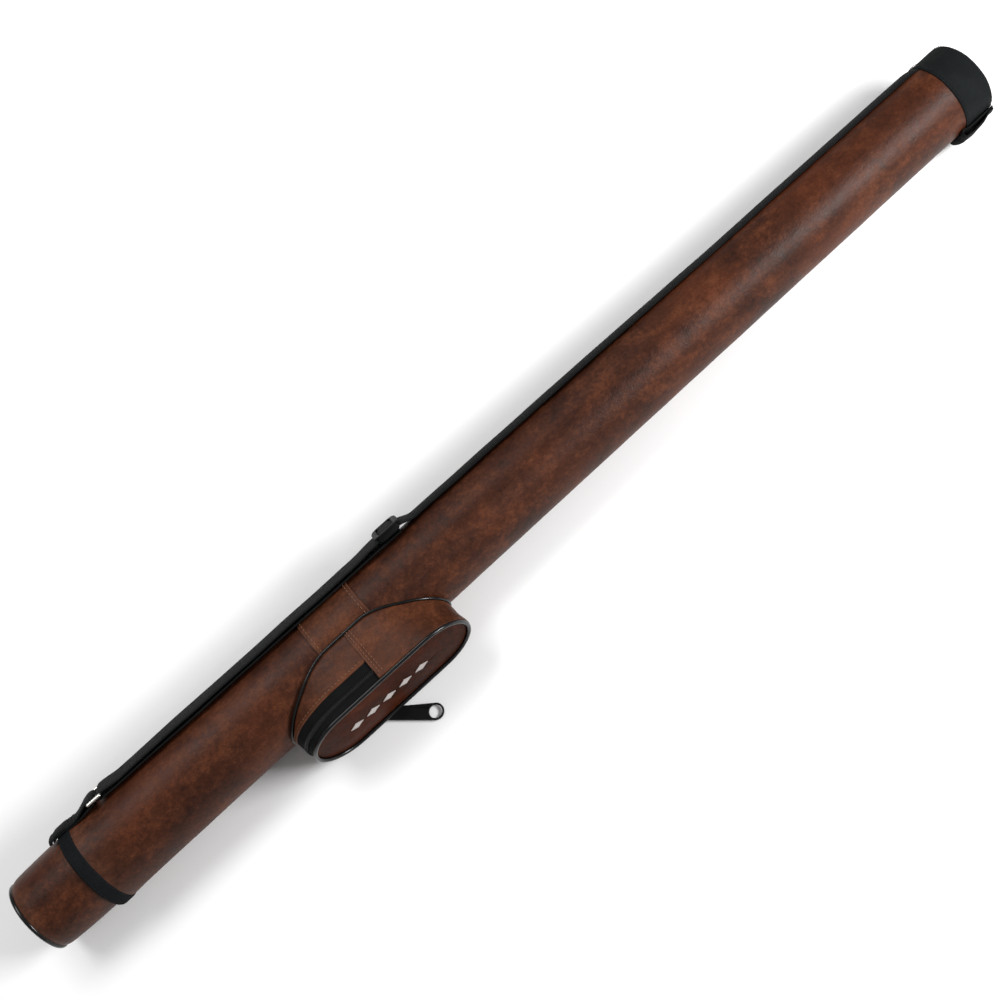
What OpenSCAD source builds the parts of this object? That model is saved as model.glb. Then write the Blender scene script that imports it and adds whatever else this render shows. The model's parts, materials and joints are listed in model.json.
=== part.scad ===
// Hard tube case for a two-piece billiards cue: one butt and one shaft.
// The tube lies along X with its lid at -X. The pocket faces -Y and the shoulder strap runs
// along the far side. The origin is below the middle of the case, on the surface it lies on.

/* [Tube] */
// Length of the whole case, lid included
case_l = 845; // [790:5:900]
// Outer radius of the tube over its leather, at the mouth
mouth_r = 31.2; // [30.8:0.1:33]
// Outer radius of the tube over its leather, at the closed end
end_r = 27.5; // [27.2:0.1:29]
// Thickness of the leather
leather_t = 1.0; // [0.8:0.1:1.1]
// Wall of the stiff core tube
core_wall = 1.8; // [1.5:0.1:2]
// Length of the nylon sleeve on the closed end
sleeve_l = 27; // [22:1:32]
// Width of the binding round the mouth
band_w = 8; // [6:1:10]

/* [Cue channels] */
// Radius of the butt's channel at the mouth
butt_r = 15.6; // [14.5:0.1:15.7]
// Radius of the butt's channel at the closed end
butt_end_r = 12; // [10:0.5:12.5]
// Radius of the shaft's channel at the mouth
shaft_r = 10.4; // [9:0.1:10.5]
// Radius of the shaft's channel at the closed end
shaft_end_r = 7; // [6.5:0.1:7.2]

/* [Lid] */
// Length of lid that shows past the mouth
lid_l = 47; // [40:1:55]
// Outer radius of the lid beside the mouth
lid_r = 29.1; // [28.8:0.1:29.4]
// Outer radius of the lid at its tip
lid_tip_r = 26.8; // [26:0.1:27.5]
// Length of the spigot that plugs into the tube
spigot_l = 45; // [35:1:45]
// Outer radius of the spigot
spigot_r = 27.8; // [27:0.1:27.9]

/* [Pocket] */
// Length of the pocket along the tube
pocket_l = 133; // [120:1:140]
// Height of the pocket across the tube
pocket_h = 58; // [54:1:58]
// Distance from the tube's axis to the front of the pocket
pocket_w = 53.5; // [50:0.5:58]
// Place of the pocket's middle along the tube
pocket_x = -150; // [-170:1:-130]
// Thickness of the pocket's leather walls
pocket_wall = 1.5; // [1.2:0.1:1.8]
// Radius of the piping round the front panel
piping_r = 1.5; // [1.2:0.1:1.8]

/* [Strap] */
// Width of the strap's webbing
web_w = 25; // [20:1:30]
// Thickness of the webbing
web_t = 1.3; // [1:0.1:1.5]
// Direction of the strap round the tube, from the pocket over the top, in degrees
strap_turn = 144; // [135:1:155]
// Direction of the tab on the closed end, measured in the same way
tab_turn = -28; // [-35:1:-20]

/* [Hidden] */
$fn = 96;
eps = 0.01;

// Space that a layer of glue or stitching takes, and the space left round what moves
glue = 0.05;
play = 0.3;

// Height of the tube's axis over the floor, and its place across the object's depth
axis_z = 32.3;
axis_y = 17.9;

// Places along the tube
tip_x = -case_l / 2;
end_x = case_l / 2;
band_x0 = tip_x + lid_l;
band_x1 = band_x0 + band_w;
core_x0 = band_x0 + 1;
core_x1 = end_x - 6;
sleeve_x0 = end_x - sleeve_l;

// Radius of the leather's outer face at a place along the tube, and its slope in degrees
function tube_r(x) = mouth_r + (end_r - mouth_r) * (x - band_x1) / (end_x - band_x1);
slope = atan((mouth_r - end_r) / (end_x - band_x1));

leather = "saddlebrown";
black = [0.10, 0.10, 0.11];
foam = [0.25, 0.25, 0.27];
nickel = "silver";

// Moves a piece from the tube's own axis to where the case lies on the floor
module laid_down() {
    translate([0, axis_y, axis_z]) children();
}

// Turns a profile drawn as (radius, place along the tube) into a round piece
module spun() {
    laid_down() rotate([0, 90, 0]) rotate_extrude() children();
}

// Solid cone that follows the tube's outer face, larger by a margin
module tube_solid(x0, x1, margin = 0) {
    translate([x0, 0, 0])
        rotate([0, 90, 0])
            cylinder(h = x1 - x0, r1 = tube_r(x0) + margin, r2 = tube_r(x1) + margin);
}

// Layer of the tube between two margins from its outer face
module tube_layer(x0, x1, outer, inner) {
    difference() {
        tube_solid(x0, x1, outer);
        tube_solid(x0 - 1, x1 + 1, inner);
    }
}

// ---- Tube ----

core_out = -leather_t - glue;
core_in = core_out - core_wall;

module core_tube() {
    color("dimgray") laid_down() tube_layer(core_x0 + glue, core_x1, core_out, core_in);
}

module leather_cover() {
    color(leather) laid_down() tube_layer(core_x0 + glue, core_x1, 0, -leather_t);
}

// Foam insert with a tapered channel for the butt and one for the shaft
insert_x0 = band_x0 + spigot_l + play;
pad_t = 6;
plug_depth = 8;
insert_x1 = core_x1 - plug_depth - pad_t;
channel_wall = 1.4;
insert_r = tube_r(insert_x0) + core_in - glue;
butt_y = -(insert_r - channel_wall - butt_r);
shaft_y = insert_r - channel_wall - shaft_r;

module channel(y, r0, r1) {
    taper = (r1 - r0) / (insert_x1 - insert_x0);
    translate([insert_x0 - 1, y, 0])
        rotate([0, 90, 0])
            cylinder(h = insert_x1 - insert_x0 + 2, r1 = r0 - taper, r2 = r1 + taper);
}

module cue_insert() {
    color(foam) laid_down() difference() {
        tube_solid(insert_x0, insert_x1, core_in - glue);
        channel(butt_y, butt_r, butt_end_r);
        channel(shaft_y, shaft_r, shaft_end_r);
    }
}

module end_pad() {
    color(foam) laid_down()
        tube_solid(insert_x1 + glue, insert_x1 + pad_t - glue, core_in - glue);
}

// Half profile of a disc whose outer edge is rounded
module rounded_disc(r, x0, x1, corner) {
    intersection() {
        union() {
            translate([0, x0]) square([r - corner, x1 - x0]);
            translate([0, x0]) square([r, x1 - x0 - corner]);
            translate([r - corner, x1 - corner]) circle(corner);
        }
        translate([0, x0]) square([r, x1 - x0]);
    }
}

end_corner = 5;
sleeve_t = 1;

module end_plug() {
    color("dimgray") spun() {
        translate([0, core_x1 - plug_depth]) square([tube_r(core_x1) + core_in - glue, plug_depth + 1]);
        rounded_disc(tube_r(core_x1), core_x1 + glue, end_x - sleeve_t - glue, end_corner - 1);
    }
}

module end_sleeve() {
    inner_r = tube_r(sleeve_x0) + glue;
    color(black) spun() difference() {
        rounded_disc(inner_r + sleeve_t, sleeve_x0, end_x, end_corner);
        translate([0, -eps]) rounded_disc(inner_r, sleeve_x0, end_x - sleeve_t, end_corner - 1);
    }
}

module mouth_band() {
    fold_r = tube_r(core_x0) + core_in;
    cover_r = tube_r(core_x0) + glue;
    out_r = mouth_r + 1.1;
    color(black) spun() polygon([
        [fold_r, band_x0],
        [out_r - 1.6, band_x0],
        [out_r - 0.5, band_x0 + 2],
        [out_r, band_x0 + 4.5],
        [out_r - 0.1, band_x1 - 0.8],
        [out_r - 0.8, band_x1],
        [cover_r, band_x1],
        [cover_r, core_x0],
        [fold_r, core_x0]
    ]);
}

// ---- Lid ----

lid_piping_r = 1.6;
lid_wall = 1.9;
lid_floor_x = tip_x + 6;
plug_r = lid_r - leather_t - glue;
plug_tip_r = lid_tip_r - leather_t - glue;
lid_edge_x = band_x0 - play;
cover_x0 = tip_x + 4;

module lid_plug() {
    color("dimgray") spun() polygon([
        [0, tip_x + 1.5],
        [plug_tip_r - 2.2, tip_x + 1.5],
        [plug_tip_r, cover_x0],
        [plug_r, lid_edge_x],
        [spigot_r, lid_edge_x],
        [spigot_r, band_x0 + spigot_l],
        [spigot_r - lid_wall, band_x0 + spigot_l],
        [spigot_r - lid_wall, band_x0],
        [plug_tip_r - lid_wall, lid_floor_x],
        [0, lid_floor_x]
    ]);
}

module lid_cover() {
    color(leather) spun() polygon([
        [plug_tip_r + glue, cover_x0],
        [plug_tip_r + leather_t + glue, cover_x0],
        [lid_r, lid_edge_x],
        [plug_r + glue, lid_edge_x]
    ]);
}

module lid_top() {
    color(leather) spun()
        translate([0, tip_x + 0.4]) square([plug_tip_r - lid_piping_r, leather_t]);
}

module lid_piping() {
    color(black) spun()
        translate([plug_tip_r + 0.25, tip_x + lid_piping_r]) circle(lid_piping_r);
}

module lid_pad() {
    color(foam) spun()
        translate([0, lid_floor_x + glue]) square([plug_tip_r - lid_wall - glue, pad_t]);
}

// ---- Pocket ----
// The pocket's outline is a stadium, swept outwards from the tube. A place across its walls
// is given as a distance outside that outline, and a height as a distance from the tube's axis.

pocket_z = 0.8;
hinge_x = pocket_x + 2;
hinge_w = pocket_w + 0.4;
saddle = leather_t + 0.2;
cut_gap = 0.2;
gusset_w = 35.5;
tooth_w = 1.0;
tooth_gap = 1.8;
tape_w = 7;
fixed_teeth_w = gusset_w + tape_w;
flap_teeth_w = fixed_teeth_w + tooth_w + tooth_gap;
wall_top_w = pocket_w - 2 * piping_r - 0.1;
reach = 400;

module stadium(grow) {
    r = pocket_h / 2 + grow;
    half = (pocket_l - pocket_h) / 2;
    square([2 * half, 2 * r], center = true);
    for (side = [-1, 1]) translate([side * half, 0]) circle(r);
}

// Ring or, with no inner margin, a solid block of the pocket's outline between two heights
module pocket_prism(w0, w1, outer, inner = undef) {
    translate([pocket_x, 0, pocket_z])
        rotate([90, 0, 0])
            translate([0, 0, w0])
                linear_extrude(w1 - w0)
                    difference() {
                        stadium(outer);
                        if (inner != undef) stadium(inner);
                    }
}

module lid_side_of_hinge() {
    intersection() {
        children();
        translate([hinge_x - cut_gap - reach, -reach / 2, -reach / 2]) cube(reach);
    }
}

module end_side_of_hinge() {
    intersection() {
        children();
        translate([hinge_x + cut_gap, -reach / 2, -reach / 2]) cube(reach);
    }
}

// Takes away the tube, and the band sewn round it, from a pocket piece
module off_the_tube() {
    difference() {
        children();
        tube_solid(pocket_x - reach / 2, pocket_x + reach / 2, saddle);
    }
}

band_patch_w = 46;
band_patch_x = pocket_x + 4;

module pocket_band() {
    color(leather) laid_down()
        tube_layer(band_patch_x - band_patch_w / 2, band_patch_x + band_patch_w / 2,
            leather_t + glue, glue);
}

module pocket_back() {
    color(leather) laid_down() off_the_tube() intersection() {
        pocket_prism(0, pocket_w, -pocket_wall - glue);
        tube_solid(pocket_x - reach / 2, pocket_x + reach / 2, saddle + 1.2);
    }
}

base_piping_t = 2.2;

module pocket_base_piping() {
    color(black) laid_down() off_the_tube() intersection() {
        pocket_prism(5, pocket_w, base_piping_t, glue);
        tube_solid(pocket_x - reach / 2, pocket_x + reach / 2, saddle + base_piping_t);
    }
}

module pocket_gusset() {
    color(leather) laid_down() off_the_tube() lid_side_of_hinge()
        pocket_prism(0, gusset_w, 0, -pocket_wall);
}

module pocket_side_cover() {
    color(leather) laid_down() off_the_tube() end_side_of_hinge()
        pocket_prism(0, wall_top_w, 0, -pocket_wall);
}

front_t = 1.8;
front_inset = -2 * piping_r - glue;

module front_panel() {
    pocket_prism(pocket_w - piping_r - front_t / 2, pocket_w - piping_r + front_t / 2, front_inset);
}

module pocket_front() {
    color(leather) laid_down() end_side_of_hinge() front_panel();
}

module pocket_flap() {
    color(leather) laid_down() lid_side_of_hinge() front_panel();
}

// Round cord sewn along the stadium's edge, made of straight runs and half rings
module front_piping() {
    half = (pocket_l - pocket_h) / 2;
    path_r = pocket_h / 2 - piping_r;
    translate([pocket_x, -(pocket_w - piping_r), pocket_z]) rotate([90, 0, 0]) {
        for (side = [-1, 1]) {
            translate([-half, side * path_r, 0])
                rotate([0, 90, 0]) cylinder(h = 2 * half, r = piping_r, $fn = 32);
            translate([side * half, 0, 0])
                rotate([0, 0, side > 0 ? -90 : 90])
                    rotate_extrude(angle = 180) translate([path_r, 0]) circle(piping_r, $fn = 32);
        }
    }
}

module front_piping_fixed() {
    color(black) laid_down() end_side_of_hinge() front_piping();
}

module front_piping_flap() {
    color(black) laid_down() lid_side_of_hinge() front_piping();
}

tape_in = -1.1;
tape_out = -0.5;
tooth_in = -1.7;
tooth_out = 0.1;

module zip_tape_fixed() {
    color(black) laid_down() lid_side_of_hinge()
        pocket_prism(gusset_w + glue, fixed_teeth_w - glue, tape_out, tape_in);
}

module zip_tape_flap() {
    color(black) laid_down() lid_side_of_hinge()
        pocket_prism(flap_teeth_w + tooth_w + glue, wall_top_w, tape_out, tape_in);
}

module zip_teeth_fixed() {
    color([0.2, 0.2, 0.2]) laid_down() lid_side_of_hinge()
        pocket_prism(fixed_teeth_w, fixed_teeth_w + tooth_w, tooth_out, tooth_in);
}

module zip_teeth_flap() {
    color([0.2, 0.2, 0.2]) laid_down() lid_side_of_hinge()
        pocket_prism(flap_teeth_w, flap_teeth_w + tooth_w, tooth_out, tooth_in);
}

// The slider's two plates hold the rows of teeth between them, and its post runs in the gap.
// Its bridge is an arch along the zip, below the outer plate, that holds the puller's root bar.
slider_x = -170;
slider_w = fixed_teeth_w + tooth_w + tooth_gap / 2;
slider_z = pocket_z - pocket_h / 2;
slider_l = 13;
plate_w = 8;
plate_t = 0.7;
arch_gap = 1.5;
arch_t = 0.8;
arch_x = 3;
outer_plate_z = -0.4 - plate_t;
inner_plate_z = -tooth_in + 0.4;

// Moves a piece to the slider's middle, on the pocket's lower face, with Z still up
module at_slider() {
    laid_down() translate([slider_x, -slider_w, slider_z]) children();
}

module slider_plate(z) {
    translate([0, 0, z]) linear_extrude(plate_t) {
        square([slider_l - plate_w, plate_w], center = true);
        for (side = [-1, 1]) translate([side * (slider_l - plate_w) / 2, 0]) circle(d = plate_w);
    }
}

module box_between(low, high) {
    translate(low) cube(high - low);
}

module zip_slider() {
    post_w = tooth_gap / 2 - play;
    arch_top = outer_plate_z - arch_gap;
    color([0.15, 0.15, 0.16]) at_slider() {
        slider_plate(outer_plate_z);
        slider_plate(inner_plate_z);
        box_between([-4, -post_w, outer_plate_z], [4, post_w, inner_plate_z + plate_t]);
        for (side = [-1, 1])
            translate([side * arch_x, 0, 0])
                box_between([-0.4, -0.7, arch_top - arch_t], [0.4, 0.7, outer_plate_z + plate_t]);
        box_between([-arch_x, -0.7, arch_top - arch_t], [arch_x, 0.7, arch_top]);
    }
}

puller_l = 40;
puller_hole_r = 4.6;
puller_eye_r = 5.9;
puller_turn = -41;
root_half = 4.4;
window_half = 3.4;
window_l = 6;
root_t = 0.9;
paddle_t = 1.4;

module zip_puller() {
    top_z = outer_plate_z - play;
    color(black) at_slider() rotate([0, 0, puller_turn]) {
        translate([0, 0, top_z - root_t]) linear_extrude(root_t) difference() {
            translate([-0.6, -root_half]) square([window_l + 1.6, 2 * root_half]);
            translate([0.6, -window_half]) square([window_l - 0.6, 2 * window_half]);
        }
        translate([0, 0, top_z - paddle_t]) linear_extrude(paddle_t) difference() {
            union() {
                polygon([
                    [window_l, -root_half],
                    [window_l, root_half],
                    [puller_l - 1, puller_eye_r - 0.1],
                    [puller_l - 1, -puller_eye_r + 0.1]
                ]);
                translate([puller_l, 0]) circle(puller_eye_r);
            }
            translate([puller_l, 0]) circle(puller_hole_r);
        }
    }
}

// ---- Strap ----
// Pieces on the tube's back are drawn as (place along the tube, height over the leather) and
// extruded across, in a frame that lies on the tube's sloping face.

module on_face(turn) {
    laid_down() rotate([90 - turn, 0, 0])
        translate([0, 0, tube_r(0)]) rotate([0, slope, 0]) children();
}

module webbing(turn) {
    on_face(turn) rotate([90, 0, 0])
        linear_extrude(web_w, center = true) children();
}

wire_r = 1.15;
fold_in_r = wire_r + glue;
fold_out_r = fold_in_r + web_t;
low_z = leather_t + 0.35;
bar_z = low_z + fold_out_r;
high_z = bar_z + fold_in_r;
tab_bar_x = band_x1 + 23;
strap_bar_x = tab_bar_x + 9.5;
adjuster_x = -83;
adjuster_l = 21;
strap_x1 = end_x - 5;

// Half loop of webbing round a bar, open towards +X or -X
module web_fold(x, side) {
    intersection() {
        translate([x, bar_z]) difference() {
            circle(fold_out_r);
            circle(fold_in_r);
        }
        translate([side > 0 ? x : x - 2 * fold_out_r, 0]) square([2 * fold_out_r, 4 * fold_out_r]);
    }
}

// The strap starts inside the adjuster, runs to the ring and back as a second layer, and
// comes down on the tube past the adjuster
module shoulder_strap() {
    double_x1 = adjuster_x + adjuster_l / 2;
    landing_x = double_x1 + 45;
    color(black) webbing(strap_turn) {
        translate([strap_bar_x, low_z]) square([double_x1 - strap_bar_x, web_t]);
        web_fold(strap_bar_x, -1);
        translate([strap_bar_x, high_z]) square([double_x1 + 10 - strap_bar_x, web_t]);
        polygon([
            [double_x1 + 10, high_z],
            [landing_x, low_z],
            [strap_x1, low_z],
            [strap_x1, low_z + web_t],
            [landing_x, low_z + web_t],
            [double_x1 + 10, high_z + web_t]
        ]);
    }
}

// Tab sewn to the mouth that holds the strap's ring. Its free end passes the mouth binding.
module strap_tab() {
    tail_x = band_x0 - 9;
    sewn_x = band_x1 + 12;
    color(black) webbing(strap_turn) {
        web_fold(tab_bar_x, 1);
        polygon([
            [tail_x, low_z],
            [tab_bar_x, low_z],
            [tab_bar_x, low_z + web_t],
            [sewn_x, low_z + web_t],
            [tab_bar_x, high_z],
            [tab_bar_x, high_z + web_t],
            [sewn_x, low_z + 2 * web_t],
            [tail_x, low_z + 2 * web_t]
        ]);
        translate([tail_x, low_z + web_t]) circle(web_t, $fn = 32);
    }
}

module rod_between(a, b, r) {
    d = b - a;
    translate(a)
        rotate([0, acos(d.z / norm(d)), atan2(d.y, d.x)])
            cylinder(h = norm(d), r = r, $fn = 32);
}

module strap_ring() {
    rail_y = web_w / 2 + 1 + wire_r;
    corners = [
        [tab_bar_x, -rail_y, bar_z],
        [strap_bar_x, -rail_y, bar_z],
        [strap_bar_x, rail_y, bar_z],
        [tab_bar_x, rail_y, bar_z]
    ];
    color(nickel) on_face(strap_turn) {
        for (i = [0 : 3]) {
            rod_between(corners[i], corners[(i + 1) % 4], wire_r);
            translate(corners[i]) sphere(wire_r, $fn = 32);
        }
    }
}

// Three-bar adjuster: the centre bar lies between the strap's layers and the end bars over them
module strap_adjuster() {
    rail_y0 = web_w / 2 + 0.5;
    rail_y1 = rail_y0 + 3.5;
    half_l = adjuster_l / 2;
    centre_z0 = low_z + web_t + play;
    centre_z1 = high_z - play;
    top_z0 = high_z + web_t + play;
    top_z1 = top_z0 + 1.8;
    color(black) on_face(strap_turn) translate([adjuster_x, 0, 0]) {
        for (side = [-1, 1])
            translate([0, side * (rail_y0 + rail_y1) / 2, (centre_z0 + top_z1) / 2])
                cube([adjuster_l, rail_y1 - rail_y0, top_z1 - centre_z0], center = true);
        box_between([-2.2, -rail_y0 - eps, centre_z0], [2.2, rail_y0 + eps, centre_z1]);
        for (side = [-1, 1])
            translate([side * (half_l - 2), 0, 0])
                box_between([-2, -rail_y0 - eps, top_z0], [2, rail_y0 + eps, top_z1]);
    }
}

// Folded webbing sewn to the closed end, opposite the strap
module end_tab() {
    tab_x0 = sleeve_x0 - 9;
    tab_x1 = end_x - 5;
    fold_r = 1.5 * web_t;
    color(black) webbing(tab_turn) {
        translate([tab_x0 + fold_r, low_z]) square([tab_x1 - tab_x0 - fold_r, web_t]);
        translate([tab_x0 + fold_r, low_z + web_t - eps])
            square([tab_x1 - tab_x0 - fold_r - 3, web_t + 2 * eps]);
        translate([tab_x0 + fold_r, low_z + 2 * web_t])
            square([tab_x1 - tab_x0 - fold_r - 6, web_t]);
        translate([tab_x0 + fold_r, low_z + fold_r]) circle(fold_r, $fn = 32);
    }
}

core_tube();
leather_cover();
cue_insert();
end_pad();
end_plug();
end_sleeve();
end_tab();
mouth_band();
lid_plug();
lid_cover();
lid_top();
lid_piping();
lid_pad();
pocket_band();
pocket_back();
pocket_base_piping();
pocket_gusset();
pocket_side_cover();
pocket_front();
pocket_flap();
front_piping_fixed();
front_piping_flap();
zip_tape_fixed();
zip_tape_flap();
zip_teeth_fixed();
zip_teeth_flap();
zip_slider();
zip_puller();
shoulder_strap();
strap_tab();
strap_ring();
strap_adjuster();
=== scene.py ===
import json
import math

import bmesh
import bpy
import numpy as np
from mathutils import Matrix, Vector, noise


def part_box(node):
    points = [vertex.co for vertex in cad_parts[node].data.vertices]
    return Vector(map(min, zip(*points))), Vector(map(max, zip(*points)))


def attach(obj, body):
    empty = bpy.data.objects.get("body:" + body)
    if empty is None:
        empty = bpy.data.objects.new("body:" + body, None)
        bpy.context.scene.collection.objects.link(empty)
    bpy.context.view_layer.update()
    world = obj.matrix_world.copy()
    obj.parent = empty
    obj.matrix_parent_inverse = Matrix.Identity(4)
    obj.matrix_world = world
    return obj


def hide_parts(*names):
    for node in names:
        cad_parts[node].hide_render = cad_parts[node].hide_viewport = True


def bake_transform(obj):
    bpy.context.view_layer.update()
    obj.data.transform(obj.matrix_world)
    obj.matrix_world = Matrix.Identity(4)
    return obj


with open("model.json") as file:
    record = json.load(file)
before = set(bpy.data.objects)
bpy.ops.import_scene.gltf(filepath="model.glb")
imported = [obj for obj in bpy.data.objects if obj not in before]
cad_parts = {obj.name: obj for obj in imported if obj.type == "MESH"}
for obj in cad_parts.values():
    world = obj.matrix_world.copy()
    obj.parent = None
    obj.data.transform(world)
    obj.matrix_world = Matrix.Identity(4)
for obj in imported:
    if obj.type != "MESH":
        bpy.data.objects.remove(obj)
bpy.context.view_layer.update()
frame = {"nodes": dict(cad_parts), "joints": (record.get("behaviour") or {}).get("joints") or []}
scene = bpy.context.scene
nodes = frame["nodes"]

# Sizes are in millimetres here, and make_mesh turns them into metres.
MM = 0.001


def box_mm(node):
    low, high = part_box(node)
    return low / MM, high / MM


# ---- Places taken from the frame ----

BAND_LOW, BAND_HIGH = box_mm("mouth_band")
SLEEVE_LOW, SLEEVE_HIGH = box_mm("end_sleeve")
LID_LOW, LID_HIGH = box_mm("lid_cover")
PIPING_LOW, PIPING_HIGH = box_mm("lid_piping")
AXIS_Y = (BAND_LOW.y + BAND_HIGH.y) / 2
AXIS_Z = (BAND_LOW.z + BAND_HIGH.z) / 2
BAND_X0, BAND_X1 = BAND_LOW.x, BAND_HIGH.x
TIP_X = PIPING_LOW.x
END_X = SLEEVE_HIGH.x
SLEEVE_X = SLEEVE_LOW.x
MOUTH_R, END_R = 31.2, 27.5
BAND_R = (BAND_HIGH.z - BAND_LOW.z) / 2
TAB_TURN = -28
POCKET_X = (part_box("pocket_flap")[0].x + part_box("pocket_front")[1].x) / 2 / MM
POCKET_Z = (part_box("front_piping_fixed")[0].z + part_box("front_piping_fixed")[1].z) / 2 / MM
FRONT_W = AXIS_Y - box_mm("front_piping_fixed")[0].y
HINGE = Vector(next(j for j in frame["joints"] if j["name"] == "pocket_flap")["pos_m"]) / MM


def tube_r(x):
    """Radius of the leather's outer face at a place along the tube."""
    return MOUTH_R + (END_R - MOUTH_R) * (x - BAND_X1) / (END_X - BAND_X1)


def around(x, r, turn):
    """Points at a place along the tube, a distance from its axis and a turn in degrees.

    The turn is 0 at the pocket's side and 90 on top.
    """
    x, r, a = np.broadcast_arrays(x, r, np.radians(turn))
    return np.stack([x, AXIS_Y - r * np.cos(a), AXIS_Z + r * np.sin(a)], -1)


# ---- Mesh tools ----

def lattice(rows, cols, wrap_rows=False, wrap_cols=False, start=0, flip=False):
    """Quads over a grid of points that are numbered row by row."""
    faces = []
    for i in range(rows if wrap_rows else rows - 1):
        for j in range(cols if wrap_cols else cols - 1):
            i1, j1 = (i + 1) % rows, (j + 1) % cols
            quad = [start + i * cols + j, start + i * cols + j1,
                    start + i1 * cols + j1, start + i1 * cols + j]
            faces.append(quad[::-1] if flip else quad)
    return faces


def tube_faces(rows, sides, start=0):
    """Quads of a tube with a flat cap on each end."""
    last = start + (rows - 1) * sides
    return lattice(rows, sides, False, True, start=start) + [
        [start + j for j in range(sides)][::-1], [last + j for j in range(sides)]]


def make_mesh(name, points, faces, material, cloth=None, wear=None):
    """Object from points in millimetres. cloth is a weave coordinate and wear a rub mark per point."""
    mesh = bpy.data.meshes.new(name)
    mesh.from_pydata((np.asarray(points, float).reshape(-1, 3) * MM).tolist(), [], faces)
    if cloth is not None:
        layer = mesh.attributes.new("cloth", "FLOAT_VECTOR", "POINT")
        layer.data.foreach_set("vector", np.asarray(cloth, np.float32).ravel())
    if wear is not None:
        layer = mesh.attributes.new("wear", "FLOAT", "POINT")
        layer.data.foreach_set("value", np.asarray(wear, np.float32).ravel())
    mesh.polygons.foreach_set("use_smooth", [True] * len(mesh.polygons))
    work = bmesh.new()
    work.from_mesh(mesh)
    bmesh.ops.remove_doubles(work, verts=work.verts, dist=1e-7)
    bmesh.ops.recalc_face_normals(work, faces=work.faces)
    work.to_mesh(mesh)
    work.free()
    mesh.materials.append(material)
    obj = bpy.data.objects.new(name, mesh)
    scene.collection.objects.link(obj)
    return obj


def slab(name, top, bottom, material, wrap_cols=False, cloth=None, wear=None):
    """Closed piece between two grids of points, with its open borders joined."""
    rows, cols = top.shape[:2]
    count = rows * cols
    faces = lattice(rows, cols, False, wrap_cols)
    faces += lattice(rows, cols, False, wrap_cols, start=count, flip=True)
    closing = [0] if wrap_cols else []
    borders = [[start + j for j in list(range(cols)) + closing] for start in (0, (rows - 1) * cols)]
    if not wrap_cols:
        borders += [[i * cols for i in range(rows)], [i * cols + cols - 1 for i in range(rows)]]
    for line in borders:
        faces += [[a, b, b + count, a + count] for a, b in zip(line, line[1:])]
    points = np.concatenate([top.reshape(-1, 3), bottom.reshape(-1, 3)])
    both = None if cloth is None else np.concatenate([cloth.reshape(-1, 3)] * 2)
    rub = None if wear is None else np.concatenate([wear.ravel()] * 2)
    return make_mesh(name, points, faces, material, both, rub)


def spun(name, profile, count, material, push=None, wear=None):
    """Closed ring from a loop of (place along the tube, radius) points, turned about the axis.

    push(x, r, turn, k) gives what each point is moved outwards, where k is its place in the loop.
    """
    profile = np.asarray(profile, float)
    turn = np.arange(count) * 360 / count
    x = np.repeat(profile[:, :1], count, 1)
    r = np.repeat(profile[:, 1:], count, 1)
    turns = np.repeat(turn[None], len(profile), 0)
    k = np.repeat(np.arange(len(profile))[:, None], count, 1)
    if push is not None:
        r = r + push(x, r, turns, k)
    points = around(x, r, turns)
    cloth = np.stack([np.radians(turns) * MOUTH_R, x, r], -1)
    rub = None if wear is None else np.repeat(np.asarray(wear, float)[:, None], count, 1)
    faces = lattice(len(profile), count, True, True)
    return make_mesh(name, points, faces, material, cloth.reshape(-1, 3), rub)


def disc(name, profile, count, material, shift, weave):
    """Closed round piece from a line of (place, radius) points that starts and ends on the axis.

    shift(x, r, turn) gives the moved x and r, and weave(x, r, angle) the cloth coordinate.
    """
    profile = np.asarray(profile, float)
    inner = profile[1:-1]
    x = np.repeat(inner[:, :1], count, 1)
    r = np.repeat(inner[:, 1:], count, 1)
    turn = np.repeat((np.arange(count) * 360 / count)[None], len(inner), 0)
    x, r = shift(x, r, turn)
    points = np.concatenate([around(x, r, turn).reshape(-1, 3), around(profile[[0, -1], 0], 0, 0)])
    cloth = np.stack(weave(x, r, np.radians(turn)), -1).reshape(-1, 3)
    cloth = np.concatenate([cloth, np.zeros((2, 3))])
    faces = lattice(len(inner), count, False, True)
    last = (len(inner) - 1) * count
    faces += [[(j + 1) % count, j, len(points) - 2] for j in range(count)]
    faces += [[last + j, last + (j + 1) % count, len(points) - 1] for j in range(count)]
    return make_mesh(name, points, faces, material, cloth)


def unit(v):
    return v / np.maximum(np.linalg.norm(v, axis=-1, keepdims=True), 1e-12)


def smooth_noise(points, size, seed=0):
    """Soft noise in -1..1 at points in millimetres, with lumps of about that size."""
    flat = np.asarray(points, float).reshape(-1, 3) / size + seed * 17.3
    values = [noise.noise(Vector(p)) for p in flat]
    return np.array(values).reshape(np.asarray(points).shape[:-1])


def run_of(line):
    """Distance from the start of a line to each of its points."""
    return np.concatenate([[0], np.cumsum(np.linalg.norm(np.diff(line, axis=0), axis=1))])


def at_run(where, run, line):
    """Points of a line at these distances from its start."""
    return np.stack([np.interp(where, run, line[:, k]) for k in range(3)], -1)


def evenly(points, step, closed=False):
    """The same line with its points one step apart."""
    points = np.asarray(points, float)
    if closed:
        points = np.concatenate([points, points[:1]])
    run = run_of(points)
    count = max(2, int(round(run[-1] / step)) + (0 if closed else 1))
    where = np.linspace(0, run[-1], count, endpoint=not closed)
    return at_run(where, run, points)


def tangents(path, closed):
    if closed:
        return unit(np.roll(path, -1, 0) - np.roll(path, 1, 0))
    return unit(np.gradient(path, axis=0))


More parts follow.
